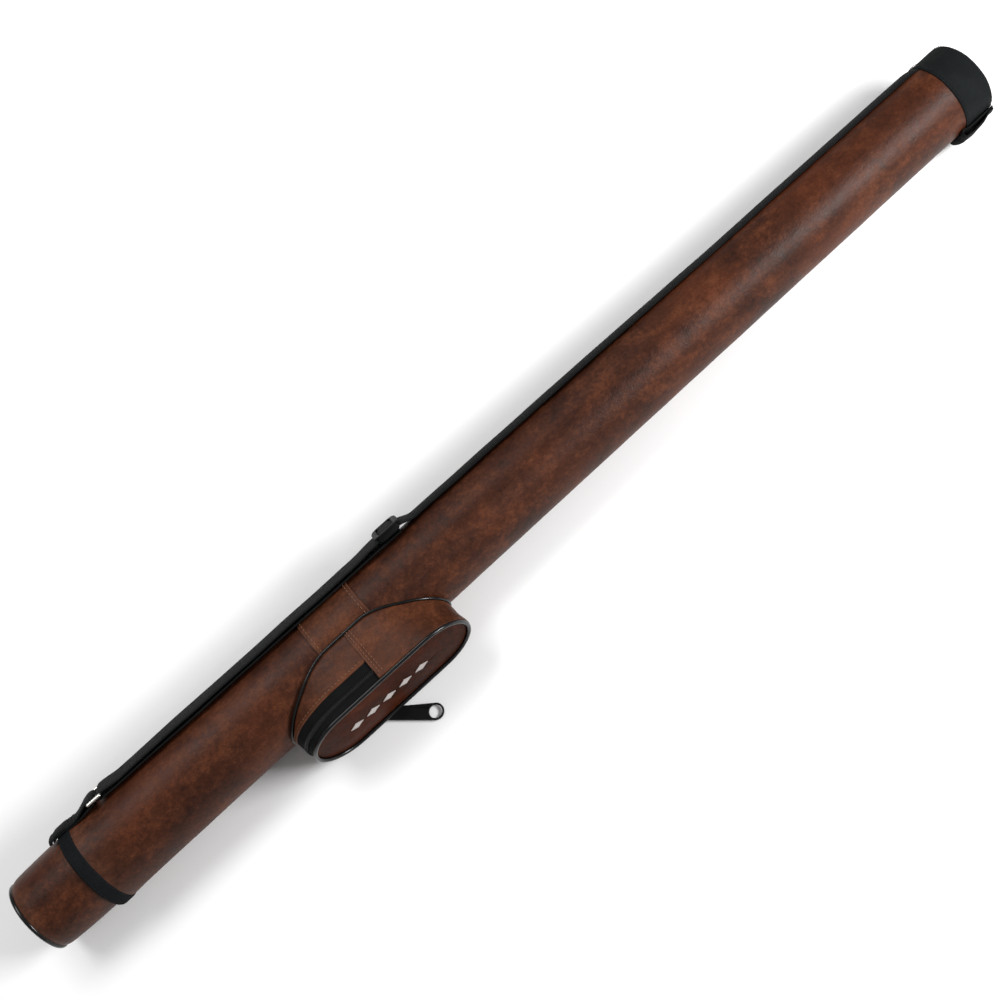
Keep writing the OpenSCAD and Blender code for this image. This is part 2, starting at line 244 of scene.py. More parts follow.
def swept(name, path, normals, section, material, closed=False):
    """Closed sweep of a section of (across, out) points along a path with an outward normal each."""
    path = np.asarray(path, float)
    along = tangents(path, closed)
    across = unit(np.cross(along, normals))
    out = unit(np.cross(across, along))
    section = np.asarray(section, float)
    points = (path[:, None] + across[:, None] * section[None, :, :1]
              + out[:, None] * section[None, :, 1:])
    rows, cols = points.shape[:2]
    faces = lattice(rows, cols, True, True) if closed else tube_faces(rows, cols)
    cloth = np.zeros((rows, cols, 3))
    cloth[..., 0] = run_of(path)[:, None]
    cloth[..., 1] = section[None, :, 0]
    return make_mesh(name, points, faces, material, cloth.reshape(-1, 3))


def circle_section(r, sides=12):
    a = np.arange(sides) * 2 * math.pi / sides
    return np.stack([r * np.cos(a), r * np.sin(a)], -1)


def strap_section(width, thick, sides=14):
    """Rounded flat section of a strap, with its edges a little fuller than its middle."""
    v = np.sin(np.linspace(-math.pi / 2, math.pi / 2, sides))
    half = thick / 2 * np.sqrt(np.maximum(0, 1 - np.abs(v) ** 14))
    bead = 1 + 0.10 * np.abs(v) ** 6
    top = np.stack([v * width / 2, half * bead], -1)
    bottom = np.stack([v[::-1] * width / 2, -(half * bead)[::-1]], -1)
    return np.concatenate([top, bottom[1:-1]])


def stitches(name, path, normals, material, pitch=3.2, share=0.72, r=0.28, lift=0.12):
    """Row of thread stitches along a path: short rounded threads that dip at both ends."""
    path, normals = np.asarray(path, float), unit(np.asarray(normals, float))
    run = run_of(path)
    count = int(run[-1] / pitch)
    steps, sides = 7, 6
    shape = np.sin(np.linspace(0, math.pi, steps))
    width = r * np.array([0.35, 0.85, 1, 1.05, 1, 0.85, 0.35])
    points, faces = [], []
    for n in range(count):
        where = (n + 0.5 + np.linspace(-share / 2, share / 2, steps)) * pitch
        line = at_run(where, run, path)
        up = unit(at_run(where, run, normals))
        along = unit(np.gradient(line, axis=0))
        across = unit(np.cross(along, up))
        line = line + up * ((shape - 0.35) * (r + lift))[:, None]
        a = np.arange(sides) * 2 * math.pi / sides
        ring = (line[:, None] + across[:, None] * (width[:, None] * np.cos(a))[..., None]
                + up[:, None] * (width[:, None] * np.sin(a))[..., None])
        start = len(points) * steps * sides
        points.append(ring.reshape(-1, 3))
        faces += tube_faces(steps, sides, start)
    return make_mesh(name, np.concatenate(points), faces, material)


def round_edges(obj, width, segments=2, angle=35):
    bevel = obj.modifiers.new("edges", "BEVEL")
    bevel.width = width * MM
    bevel.segments = segments
    bevel.limit_method = "ANGLE"
    bevel.angle_limit = math.radians(angle)
    return obj


def finish_piece(obj, body, slot, *replaced):
    """Says which body a piece rides on and which CAD nodes it stands for; slot is not used."""
    if replaced:
        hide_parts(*replaced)
    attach(obj, body)


def ring_stitches(name, x, r, turn, material, pitch, thread_r, slot="black_nylon"):
    """Row of stitches round the tube at one place along it."""
    line = around(x, r, turn)
    row = stitches(name, line, line - around(x, 0, 0), material, pitch, r=thread_r)
    finish_piece(row, "case", slot)


# ---- Materials ----

class Shader:
    """Small helper that builds one node material."""

    def __init__(self, name):
        self.material = bpy.data.materials.new(name)
        self.material.use_nodes = True
        self.tree = self.material.node_tree
        self.bsdf = self.tree.nodes["Principled BSDF"]

    def node(self, kind, inputs=None, **settings):
        """New node with these settings and inputs; an input is a number, a colour or a socket."""
        made = self.tree.nodes.new(kind)
        for key, value in settings.items():
            setattr(made, key, value)
        self.fill(made, inputs or {})
        return made

    def fill(self, node, inputs):
        for key, value in inputs.items():
            if isinstance(value, bpy.types.NodeSocket):
                self.tree.links.new(value, node.inputs[key])
            else:
                node.inputs[key].default_value = value

    def place(self):
        return self.node("ShaderNodeTexCoord").outputs["Object"]

    def attribute(self, name, output="Fac"):
        return self.node("ShaderNodeAttribute", attribute_name=name).outputs[output]

    def stretched(self, vector, scale):
        return self.node("ShaderNodeMapping", {"Vector": vector, "Scale": scale}).outputs["Vector"]

    def noise(self, vector, scale, detail=4.0, rough=0.55, distortion=0.0):
        return self.node("ShaderNodeTexNoise", {
            "Vector": vector, "Scale": scale, "Detail": detail, "Roughness": rough,
            "Distortion": distortion}).outputs["Fac"]

    def cells(self, vector, scale, feature):
        return self.node("ShaderNodeTexVoronoi", {"Vector": vector, "Scale": scale},
                         feature=feature).outputs["Distance"]

    def math(self, operation, a, b=0.0, clamp=False):
        return self.node("ShaderNodeMath", {0: a, 1: b}, operation=operation, use_clamp=clamp).outputs[0]

    def fit(self, value, low, high, to_low, to_high):
        return self.node("ShaderNodeMapRange", {
            "Value": value, "From Min": low, "From Max": high, "To Min": to_low,
            "To Max": to_high}).outputs["Result"]

    def ramp(self, value, stops):
        made = self.node("ShaderNodeValToRGB", {"Fac": value})
        elements = made.color_ramp.elements
        while len(elements) < len(stops):
            elements.new(0.5)
        for element, (place, color) in zip(elements, stops):
            element.position = place
            element.color = srgb(*color)
        return made.outputs["Color"]

    def mix(self, share, a, b):
        return self.node("ShaderNodeMix", {"Factor": share, 6: a, 7: b},
                         data_type="RGBA", blend_type="MIX").outputs[2]

    def bump(self, height, distance, strength, under=None):
        inputs = {"Height": height, "Distance": distance * MM, "Strength": strength}
        if under is not None:
            inputs["Normal"] = under
        return self.node("ShaderNodeBump", inputs).outputs["Normal"]

    def finish(self, color, normal, rough, gloss, **more):
        """Fills the shader's sockets; more names them with _ for a space."""
        self.fill(self.bsdf, {"Base Color": color, "Normal": normal, "Roughness": rough,
                              "Specular IOR Level": gloss})
        self.fill(self.bsdf, {key.replace("_", " "): value for key, value in more.items()})
        return self.material


def srgb(r, g, b, more=0):
    """Linear colour from screen values in 0..255, each made that much lighter."""
    values = (min(255, c + more) for c in (r, g, b))
    return tuple(((c / 255 + 0.055) / 1.055) ** 2.4 if c > 10 else c / 255 / 12.92 for c in values) + (1,)


def leather(name, dark, mid, light, grey, gloss):
    """Pull-up faux leather: cloudy brown mottling whose palest patches are a painted grey sheen, pebbled
    grain, rubbed edges and a satin coat.
    """
    s = Shader(name)
    place = s.place()
    clouds = s.noise(s.stretched(place, (0.7, 1, 1)), 38, 5, 0.62, 0.4)
    wisps = s.noise(s.stretched(place, (0.8, 1, 1)), 120, 5, 0.68, 0.3)
    mottle = s.noise(place, 330, 4, 0.7, 0.2)
    fine = s.noise(place, 900, 3, 0.6)
    tone = s.math("ADD", s.math("MULTIPLY", clouds, 0.4), s.math("MULTIPLY", wisps, 0.32))
    tone = s.math("ADD", tone, s.math("MULTIPLY", mottle, 0.28))
    # The top stop, grey, is painted sheen: the leather's grey sheen put into the colour at random places in
    # the mottling.
    color = s.ramp(tone, [(0.38, dark), (0.50, mid), (0.59, light), (0.69, grey)])
    warm = s.noise(s.stretched(place, (0.7, 1, 1)), 17, 3, 0.5, 0.2)
    rust = srgb(*(int(c * k) for c, k in zip(light, (1.12, 1.02, 0.86))))
    color = s.mix(s.fit(warm, 0.48, 0.72, 0.0, 0.4), color, rust)
    color = s.mix(s.fit(fine, 0.35, 0.7, 0.0, 0.35), color, srgb(*dark))
    rubbed = s.math("MULTIPLY", s.attribute("wear"), s.fit(wisps, 0.35, 0.65, 0.25, 1.0))
    color = s.mix(s.math("MULTIPLY", rubbed, 0.55, True), color, srgb(*light, 34))
    pebbles = s.cells(place, 1150, "SMOOTH_F1")
    creases = s.cells(s.stretched(place, (0.8, 1, 1)), 520, "DISTANCE_TO_EDGE")
    crease_depth = s.fit(creases, 0.0, 0.09, 0.0, 1.0)
    wrinkles = s.noise(s.stretched(place, (0.7, 1, 1)), 330, 3, 0.6, 0.8)
    normal = s.bump(wrinkles, 0.45, 0.5)
    normal = s.bump(crease_depth, 0.06, 0.4, normal)
    normal = s.bump(pebbles, 0.09, 0.6, normal)
    normal = s.bump(fine, 0.05, 0.5, normal)
    return s.finish(color, normal, s.fit(wisps, 0.3, 0.7, 0.38, 0.52), gloss)


def woven(name, base, high, pitch=1.1, relief=0.16, rough=0.82):
    """Black nylon: a plain weave laid on the piece's own cloth coordinate, with painted shade in the dips
    between threads and a painted highlight on their crowns.
    """
    s = Shader(name)
    apart = s.node("ShaderNodeSeparateXYZ", {0: s.attribute("cloth", "Vector")})
    turn = math.pi / pitch
    warp = s.math("SINE", s.math("MULTIPLY", apart.outputs["X"], turn))
    weft = s.math("SINE", s.math("MULTIPLY", apart.outputs["Y"], turn * 0.8))
    over = s.math("GREATER_THAN", s.math("MULTIPLY", warp, weft), 0.0)
    height = s.math("ADD", s.math("MULTIPLY", s.math("ABSOLUTE", warp), over),
                    s.math("MULTIPLY", s.math("ABSOLUTE", weft), s.math("SUBTRACT", 1.0, over)))
    place = s.place()
    fuzz = s.noise(place, 2600, 2, 0.6)
    lint = s.noise(place, 60, 4, 0.6)
    # The weave's height in the colour is painted shade in the dips and a painted highlight on the crowns;
    # the fuzz adds random tone.
    tone = s.math("ADD", s.math("MULTIPLY", height, 0.55), s.math("MULTIPLY", fuzz, 0.35))
    color = s.mix(s.fit(tone, 0.1, 0.8, 0.0, 1.0), srgb(*base), srgb(*high))
    color = s.mix(s.fit(lint, 0.45, 0.75, 0.0, 0.25), color, srgb(*high, 18))
    normal = s.bump(fuzz, 0.08, 0.4, s.bump(height, relief, 0.8))
    return s.finish(color, normal, s.fit(fuzz, 0.3, 0.7, rough - 0.08, rough + 0.08), 0.12)


def moulded(name, color, rough, grain=0.02, coat=0.0, spread=0.10, scale=700, metallic=0.0, gloss=0.3):
    """Plastic, rubber, enamel or metal with a faint texture and uneven gloss."""
    s = Shader(name)
    place = s.place()
    fine = s.noise(place, scale, 3, 0.6)
    smudge = s.noise(place, 90, 4, 0.6)
    color = s.mix(s.fit(smudge, 0.3, 0.7, 0.0, 0.35), srgb(*color), srgb(*color, 16))
    rough = s.fit(smudge, 0.3, 0.7, rough - spread / 2, rough + spread)
    return s.finish(color, s.bump(fine, grain, 0.6), rough, gloss, Metallic=metallic,
                    Coat_Weight=coat, Coat_Roughness=0.12)


def thread(name, color):
    """Twisted sewing thread."""
    s = Shader(name)
    twist = s.noise(s.place(), 2200, 2, 0.5)
    color = s.mix(twist, srgb(*(int(c * 0.6) for c in color)), srgb(*color))
    return s.finish(color, s.bump(twist, 0.08, 0.7), 0.7, 0.2)


# The fourth colour of each leather is its painted grey sheen.
LEATHER = leather("mottled_leather", (34, 15, 8), (60, 30, 17), (84, 45, 26), (96, 60, 43), gloss=0.14)
POUCH = leather("pouch_leather", (42, 21, 12), (68, 36, 21), (90, 50, 30), (98, 62, 44), gloss=0.12)
FRONT_LEATHER = leather("front_leather", (30, 12, 6), (52, 23, 12), (70, 33, 18), (74, 40, 26), gloss=0.03)
# Each weave's first colour is the black nylon darkened by painted shade in the dips; the second is the
# crowns, painted lighter as a highlight.
WEB = woven("webbing_nylon", (5, 6, 6), (15, 16, 17), pitch=1.2, relief=0.25)
BINDING = woven("binding_nylon", (6, 7, 8), (18, 20, 22), pitch=0.9, relief=0.2)
SLEEVE = woven("sleeve_nylon", (6, 8, 8), (19, 22, 23), pitch=0.8, relief=0.16, rough=0.88)
TAPE = woven("zip_tape_weave", (4, 4, 5), (13, 14, 15), pitch=0.6, relief=0.12)
PIPING = moulded("piping_vinyl", (6, 6, 7), 0.22, grain=0.02, coat=0.2, scale=500, gloss=0.25)
TOOTH = moulded("zip_coil", (16, 16, 17), 0.36, grain=0.02, scale=1500, gloss=0.3)
ENAMEL = moulded("slider_enamel", (12, 12, 13), 0.32, grain=0.02, coat=0.2)
RUBBER = moulded("puller_rubber", (10, 10, 11), 0.5, grain=0.05, scale=1800, gloss=0.2)
PLASTIC = moulded("adjuster_plastic", (8, 8, 9), 0.5, grain=0.05, scale=1600, gloss=0.06)
BOARD = moulded("core_board", (74, 74, 78), 0.6, grain=0.05, scale=500)
NICKEL = moulded("bright_nickel", (222, 219, 212), 0.22, grain=0.01, spread=0.12, scale=400, metallic=1.0)
BLACK_THREAD = thread("black_thread", (22, 23, 25))
BROWN_THREAD = thread("brown_thread", (142, 98, 72))
PALE_THREAD = thread("pale_thread", (222, 214, 210))


def flocking(name):
    """Dark grey flocked foam of the insert and the pads."""
    s = Shader(name)
    place = s.place()
    nap = s.noise(place, 1800, 3, 0.65)
    cloud = s.noise(place, 70, 4, 0.6)
    color = s.mix(nap, srgb(30, 30, 33), srgb(66, 66, 70))
    color = s.mix(s.fit(cloud, 0.35, 0.7, 0.0, 0.4), color, srgb(84, 84, 88))
    return s.finish(color, s.bump(nap, 0.25, 0.7), 0.95, 0.5, Sheen_Weight=0.5)


FLOCK = flocking("flocked_foam")


def paint_node(name, material):
    """Gives a CAD node that stays in view its material."""
    mesh = nodes[name].data
    mesh.materials.clear()
    mesh.materials.append(material)


for node_name, node_material in (
    ("core_tube", BOARD), ("lid_plug", BOARD), ("end_plug", PLASTIC), ("cue_insert", FLOCK),
    ("end_pad", FLOCK), ("lid_pad", FLOCK),
):
    paint_node(node_name, node_material)


# ---- Camera, light and floor ----

LENS_PX = 1490
CAMERA_DISTANCE = 1001.5
CAMERA_X = -76.9
CAMERA_RISE = 1.0
CAMERA_PITCH = math.atan(3.4 / LENS_PX)
CAMERA_LIFT = math.radians(65)
CAMERA_TOE = math.radians(3.65)
CAMERA_ROLL = math.radians(42.22)


def add_camera():
    data = bpy.data.cameras.new("camera")
    data.sensor_width = 36
    data.lens = LENS_PX / 1000 * 36
    data.clip_start, data.clip_end = 0.05, 20
    camera = bpy.data.objects.new("camera", data)
    scene.collection.objects.link(camera)
    along = Vector((1, 0, 0))
    back = Vector((0, -math.cos(CAMERA_LIFT), math.sin(CAMERA_LIFT)))
    over = Vector((0, math.sin(CAMERA_LIFT), math.cos(CAMERA_LIFT)))
    right = along * math.cos(CAMERA_TOE) + back * math.sin(CAMERA_TOE)
    ahead = along * math.sin(CAMERA_TOE) - back * math.cos(CAMERA_TOE)
    up = over * math.cos(CAMERA_PITCH) + ahead * math.sin(CAMERA_PITCH)
    ahead = ahead * math.cos(CAMERA_PITCH) - over * math.sin(CAMERA_PITCH)
    image_right = right * math.cos(CAMERA_ROLL) - up * math.sin(CAMERA_ROLL)
    image_up = right * math.sin(CAMERA_ROLL) + up * math.cos(CAMERA_ROLL)
    place = (Vector((CAMERA_X, AXIS_Y, AXIS_Z)) + back * CAMERA_DISTANCE + over * CAMERA_RISE) * MM
    turn = Matrix((image_right, image_up, -ahead)).transposed().to_4x4()
    camera.matrix_world = Matrix.Translation(place) @ turn
    scene.camera = camera


def add_light(name, place, aim, size, power):
    data = bpy.data.lights.new(name, "AREA")
    data.shape = "RECTANGLE"
    data.size, data.size_y = size
    data.energy = power
    light = bpy.data.objects.new(name, data)
    light.location = place
    direction = Vector(aim) - Vector(place)
    light.rotation_euler = direction.to_track_quat("-Z", "Y").to_euler()
    scene.collection.objects.link(light)


def add_floor():
    points = [(-6000, -6000, 0), (6000, -6000, 0), (6000, 6000, 0), (-6000, 6000, 0)]
    s = Shader("floor_white")
    tint = s.noise(s.place(), 3, 2, 0.5)
    color = s.mix(s.fit(tint, 0.3, 0.7, 0.0, 1.0), srgb(246, 246, 246), srgb(249, 249, 249))
    s.fill(s.bsdf, {"Base Color": color, "Roughness": 0.9})
    floor = make_mesh("floor", points, [[0, 1, 2, 3]], s.material)


def add_world():
    world = bpy.data.worlds.new("studio")
    world.use_nodes = True
    inputs = world.node_tree.nodes["Background"].inputs
    inputs["Color"].default_value = (1, 1, 1, 1)
    inputs["Strength"].default_value = 0.32
    scene.world = world


add_camera()
add_floor()
add_world()
add_light("key", (0.78, -0.66, 0.76), (0.30, 0.0, 0.03), (0.62, 0.3), 20)
add_light("back", (-0.42, 0.70, 1.40), (-0.15, 0.0, 0.03), (1.2, 0.6), 14)
scene.view_settings.view_transform = "Standard"


# ---- Tube ----

LEATHER_T = 1.0
FLARE = 0.45
FLARE_RUN = 9


def soft_dents(x, turn, depth, size, seed):
    """Shallow unevenness of soft covering on a hard tube."""
    return depth * smooth_noise(around(x, 30.0, turn), size, seed)


def add_tube_leather():
    x0, x1 = BAND_X1 - 6, SLEEVE_X + 6
    outer_x = np.concatenate([np.arange(x0, x0 + 50, 1.6), np.arange(x0 + 50, x1, 5), [x1]])
    flare = FLARE * np.exp(-((outer_x - BAND_X1) / FLARE_RUN) ** 2)
    outer = np.stack([outer_x, tube_r(outer_x) + flare], -1)
    inner = np.stack([outer_x[::-1], tube_r(outer_x[::-1]) - LEATHER_T], -1)
    profile = np.concatenate([outer, inner])
    count = len(outer)

    def push(x, r, turn, k):
        dents = soft_dents(x, turn, 0.10, 26, 1) + soft_dents(x, turn, 0.05, 9, 2)
        return np.where(k < count, dents, 0)

    wear = np.concatenate([np.exp(-(outer_x - x0) / 10), np.zeros(count)])
    piece = spun("tube_leather", profile, 160, LEATHER, push, wear)
    finish_piece(piece, "case", "brown_leather", "leather_cover")


add_tube_leather()


def add_mouth_binding():
    edge_x = BAND_X1 + 2.4
    half = (edge_x - BAND_X0) / 2
    middle = (BAND_X0 + edge_x) / 2
    a = np.linspace(-1, 1, 15)
    crown = np.sqrt(np.maximum(0, 1 - np.abs(a) ** 3.2))
    outer = np.stack([middle + a * half, BAND_R - 1.0 + 1.0 * crown], -1)
    inner = [(edge_x, tube_r(BAND_X1) - 0.6), (BAND_X0 + 1.2, tube_r(BAND_X1) - 0.6),
             (BAND_X0 + 1.2, tube_r(BAND_X1) - 2.9), (BAND_X0, tube_r(BAND_X1) - 2.9)]
    profile = np.concatenate([outer, inner])
    crown_rows = len(outer)

    def push(x, r, turn, k):
        ribs = 0.10 * np.cos(np.radians(turn) * 168)
        lumps = soft_dents(x, turn, 0.16, 11, 5)
        return np.where(k < crown_rows, ribs + lumps - 0.12, 0)

    piece = spun("mouth_binding", profile, 168 * 6, BINDING, push)
    finish_piece(piece, "case", "black_nylon", "mouth_band")
    turn = np.linspace(0, 360, 361)
    for name, x in (("binding_stitches_tube", edge_x - 1.5), ("binding_stitches_lid", BAND_X0 + 1.6)):
        ring_stitches(name, x, BAND_R - 0.3, turn, BLACK_THREAD, 2.9, 0.2)


add_mouth_binding()


def add_end_sleeve():
    corner = 5.0
    thick = 1.0
    rim_r = tube_r(SLEEVE_X) + 0.05 + thick
    straight_x = np.linspace(SLEEVE_X + 1.2, END_X - corner, 16)
    hem = np.exp(-((straight_x - SLEEVE_X) / 2.6) ** 2) * 0.5
    side = np.stack([straight_x, rim_r - 0.35 + hem], -1)
    a = np.linspace(0, math.pi / 2, 9)[1:]
    bend = np.stack([END_X - corner + corner * np.sin(a), rim_r - 0.35 - corner + corner * np.cos(a)], -1)
    cap_r = np.linspace(rim_r - corner - 0.35, 1.5, 12)[1:]
    cap = np.stack([np.full(len(cap_r), END_X) - 0.35 * (1 - (cap_r / rim_r) ** 2), cap_r], -1)
    lip = [(SLEEVE_X + 0.3, rim_r - 0.1), (SLEEVE_X, rim_r - 0.55),
           (SLEEVE_X + 0.2, tube_r(SLEEVE_X) - 0.3)]
    inside = [(SLEEVE_X + 4, tube_r(SLEEVE_X) - 0.4), (END_X - 2.2, tube_r(SLEEVE_X) - 1.2),
              (END_X - 1.6, 12)]
    profile = np.concatenate([[(END_X - 0.35, 0)], cap[::-1], bend[::-1], side[::-1], lip, inside,
                              [(END_X - 1.6, 0)]])
    inside_rows = 4

    def lumpy(x, r, turn):
        lumps = soft_dents(x, turn, 0.30, 14, 7) + soft_dents(x, turn, 0.12, 5, 8)
        outside = (np.arange(len(x)) < len(x) - inside_rows)[:, None]
        return x, r + np.where(outside & (r > 8), lumps - 0.1, 0)

    def weave(x, r, angle):
        return angle * END_R, x + np.maximum(0, rim_r - r) * 0.6, r

    piece = disc("sleeve_cloth", profile, 180, SLEEVE, lumpy, weave)
    finish_piece(piece, "case", "black_nylon", "end_sleeve")
    circle = np.linspace(0, 360, 361)
    for name, at_x, at_r in (("sleeve_edge_stitches", SLEEVE_X + 2.2, rim_r + 0.05),
                             ("sleeve_rim_stitches", END_X - 3.3, rim_r - 0.55)):
        ring_stitches(name, at_x, at_r, circle, BLACK_THREAD, 3.0, 0.22)


add_end_sleeve()


# ---- Lid ----

def add_lid():
    edge_x = LID_HIGH.x
    edge_r = (LID_HIGH.z - LID_LOW.z) / 2
    tip_r = (PIPING_HIGH.z - PIPING_LOW.z) / 2 - 0.7
    pipe_r = (PIPING_HIGH.x - PIPING_LOW.x) / 2
    pipe_x = TIP_X + pipe_r
    curl_x = pipe_x + 0.9
    x = np.concatenate([np.linspace(edge_x, curl_x + 8, 26), np.linspace(curl_x + 8, curl_x, 10)[1:]])
    share = (edge_x - x) / (edge_x - curl_x)
    belly = 0.35 * np.sin(share * math.pi) + 0.2 * np.exp(-((edge_x - x) / 5) ** 2)
    curl = 1.5 * np.clip(1 - (x - curl_x) / 6, 0, 1) ** 2.2
    r = edge_r - 0.3 + (tip_r + 0.9 - edge_r) * share + belly - curl
    outer = np.stack([x, r], -1)
    inner = np.stack([x[::-1], np.minimum(r[::-1] - 0.95, edge_r - 1.05)], -1)
    count = len(outer)

    def push(px, pr, turn, k):
        dents = soft_dents(px, turn, 0.12, 22, 11) + soft_dents(px, turn, 0.07, 8, 12)
        gather = 0.10 * np.cos(np.radians(turn) * 46) * np.exp(-(px - curl_x) / 2.5)
        return np.where(k < count, dents + gather, 0)

    wear = np.concatenate([np.exp(-(x - curl_x) / 4) + 0.6 * np.exp(-(edge_x - x) / 2), np.zeros(count)])
    piece = spun("lid_leather", np.concatenate([outer, inner]), 160, LEATHER, push, wear)
    finish_piece(piece, "lid", "brown_leather", "lid_cover")

    turn = np.linspace(0, 360, 181)[:-1]
    line = around(pipe_x + 0.12 * np.sin(np.radians(turn * 3)), tip_r - pipe_r, turn)
    pipe = swept("lid_piping_cord", line, line - around(pipe_x, 0, 0),
                 circle_section(pipe_r), PIPING, closed=True)
    finish_piece(pipe, "lid", "black_piping", "lid_piping")

    top_r = tip_r - 2 * pipe_r + 0.5
    rings = np.linspace(0, 1, 14) ** 0.8
    dome = [(TIP_X + 0.1 + 1.5 * s ** 4, top_r * s) for s in rings]
    back = [(TIP_X + 2.2, top_r * s) for s in rings[::-1]]

    def dimple(px, pr, turn):
        return px + soft_dents(px, turn, 0.12, 12, 15) * (pr < top_r * 0.9), pr

    def flat(px, pr, angle):
        return pr * np.cos(angle), pr * np.sin(angle), px

    top = disc("lid_top_leather", dome + back[:1] + back[-1:], 96, LEATHER, dimple, flat)
    finish_piece(top, "lid", "brown_leather", "lid_top")


add_lid()


# ---- Pocket ----
# A place on the pocket's walls is a share of the way from the fold on top round one side to the
# fold below, a height from the tube's axis, and a distance outside the outline.

FOLD = HINGE.x - POCKET_X
FRONT_SHAPE = (37.5, 66.5, 29.0)
BASE_SHAPES = {-1: (14.0, 68.5, 29.0), 1: (14.0, 63.5, 29.0)}
BASE_W = 20.0
PIPE_R = 1.5
GUSSET_W = 35.5
TEETH_W = 44.4
WALL_T = 1.5
END_BULGE = 2.4


def outline(side, u, w):
    """Place along the tube, height and outward normal of the pocket's outline."""
    share = np.clip((FRONT_W - w) / (FRONT_W - BASE_W), 0, 1)
    half, long, high = (f + (b - f) * share for f, b in zip(FRONT_SHAPE, BASE_SHAPES[side]))
    first = half - side * FOLD
    bend = math.pi * np.sqrt(((long - half) ** 2 + high ** 2) / 2)
    run = u * (2 * first + bend)
    a = np.clip((run - first) / bend, 0, 1) * math.pi
    past = np.maximum(run - first - bend, 0)
    x = np.where(run < first, FOLD + side * run, side * (half + (long - half) * np.sin(a) - past))
    normal = unit(np.stack([side * np.sin(a) / (long - half), np.cos(a) / high], -1))
    return x, high * np.cos(a), normal


def wall(side, u, w, out=0.0):
    """Points on the pocket's walls."""
    u, w, out = np.broadcast_arrays(np.asarray(u, float), np.asarray(w, float), np.asarray(out, float))
    x, z, normal = outline(side, u, w)
    bulge = END_BULGE * np.exp(-((w - 37) / 8) ** 2) * np.clip(-normal[..., 0], 0, 1) ** 2
    out = out + bulge
    return np.stack([POCKET_X + x + normal[..., 0] * out, AXIS_Y - w,
                     POCKET_Z + z + normal[..., 1] * out], -1)


def base_w(side, u, clear):
    """Height at which the pocket's wall meets a surface that far outside the tube's leather."""
    w = np.full(np.shape(u), BASE_W)
    for _ in range(6):
        p = wall(side, u, w)
        w = np.sqrt(np.maximum((tube_r(p[..., 0]) + clear) ** 2 - (p[..., 2] - AXIS_Z) ** 2, 16))
    return w


def wall_normal(side, u, w):
    x, z, normal = outline(side, np.asarray(u, float), np.asarray(w, float))
    return np.stack([normal[..., 0], np.zeros(np.shape(x)), normal[..., 1]], -1)


def whole_outline(w_of, out, count=150):
    """Closed line round both sides of the pocket, with its outward normals."""
    u = np.linspace(0, 1, count, endpoint=False)
    left = wall(-1, u, w_of(-1, u), out)
    right = wall(1, 1 - u, w_of(1, 1 - u), out)
    normals = np.concatenate([wall_normal(-1, u, w_of(-1, u)), wall_normal(1, 1 - u, w_of(1, 1 - u))])
    return np.concatenate([left, right]), normals


def blend_over_fold(obj, slot, *replaced):
    """Hides the CAD nodes a piece of the front stands for and bakes the piece's place into its mesh."""
    if replaced:
        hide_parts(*replaced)
    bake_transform(obj)


def add_pocket_band():
    low, high = box_mm("pocket_band")
    high.x -= 3
    x = np.concatenate([[low.x], np.linspace(low.x + 0.5, high.x - 0.5, 40), [high.x]])
    turn = np.arange(180) * 2.0
    xs, ts = np.meshgrid(x, turn, indexing="ij")
    base = tube_r(xs)
    right = np.exp(-(high.x - xs) / 2.2) * (0.55 + 0.35 * np.sin(np.radians(ts * 3 + 40)))
    left = np.exp(-(xs - low.x) / 2.0) * 0.15
    fold = 0.35 * np.exp(-((xs - (high.x - 9)) / 2.2) ** 2) * np.sin(np.radians(ts + 10)) ** 2
    dents = soft_dents(xs, ts, 0.16, 9, 21)
    edge = np.minimum(xs - low.x, high.x - xs)
    crown = 0.25 * (1 - np.exp(-edge / 0.4))
    top = around(xs, base + 0.95 + crown + right + left + fold + dents, ts)
    bottom = around(xs, base + 0.05 + right * 0.9 + np.maximum(0, dents), ts)
    wear = np.exp(-edge / 1.0)
    piece = slab("pocket_band_leather", top, bottom, POUCH, wrap_cols=True, wear=wear)
    finish_piece(piece, "case", "brown_leather", "pocket_band")
    turns = np.linspace(20, 340, 300)
    for name, at_x in (("band_stitches_left", low.x + 2.4), ("band_stitches_right", high.x - 2.8)):
        lift = 1.28 if at_x < POCKET_X else 1.5
        ring_stitches(name, at_x, tube_r(at_x) + lift, turns, BROWN_THREAD, 3.4, 0.28, "brown_leather")


def add_gusset():
    u = np.linspace(0, 1, 170)
    rows = 22
    share = np.concatenate([[0], np.linspace(0.03, 0.97, rows), [1]])
    shares, us = np.meshgrid(share, u, indexing="ij")
    foot = base_w(-1, us, 1.0)
    w = foot + (GUSSET_W - foot) * shares
    near_top = (1 - shares) * (GUSSET_W - foot)
    near_foot = shares * (GUSSET_W - foot)
    flat = wall(-1, us, w)
    sag = smooth_noise(flat, 13, 31) * 0.28 + smooth_noise(flat, 5, 32) * 0.10
    fold = 0.35 * np.exp(-((near_top - 1.2) / 0.9) ** 2) - 0.5 * np.exp(-(near_top / 0.35))
    fold = fold - 0.25 * np.exp(-(near_foot / 1.5))
    top = wall(-1, us, w, sag + fold)
    bottom = wall(-1, us, w, -WALL_T + sag * 0.5)
    wear = np.maximum(np.exp(-near_top / 1.0), 0.35 * np.exp(-near_foot / 1.5))
    piece = slab("pocket_gusset_leather", top, bottom, POUCH, wear=wear)
    finish_piece(piece, "case", "brown_leather", "pocket_gusset")
    line_u = np.linspace(0.02, 0.98, 300)
    line = wall(-1, line_u, GUSSET_W - 2.2, 0.30)
    row = stitches("gusset_stitches", line, wall_normal(-1, line_u, GUSSET_W), BROWN_THREAD, 2.9, r=0.24)
    finish_piece(row, "case", "brown_leather")


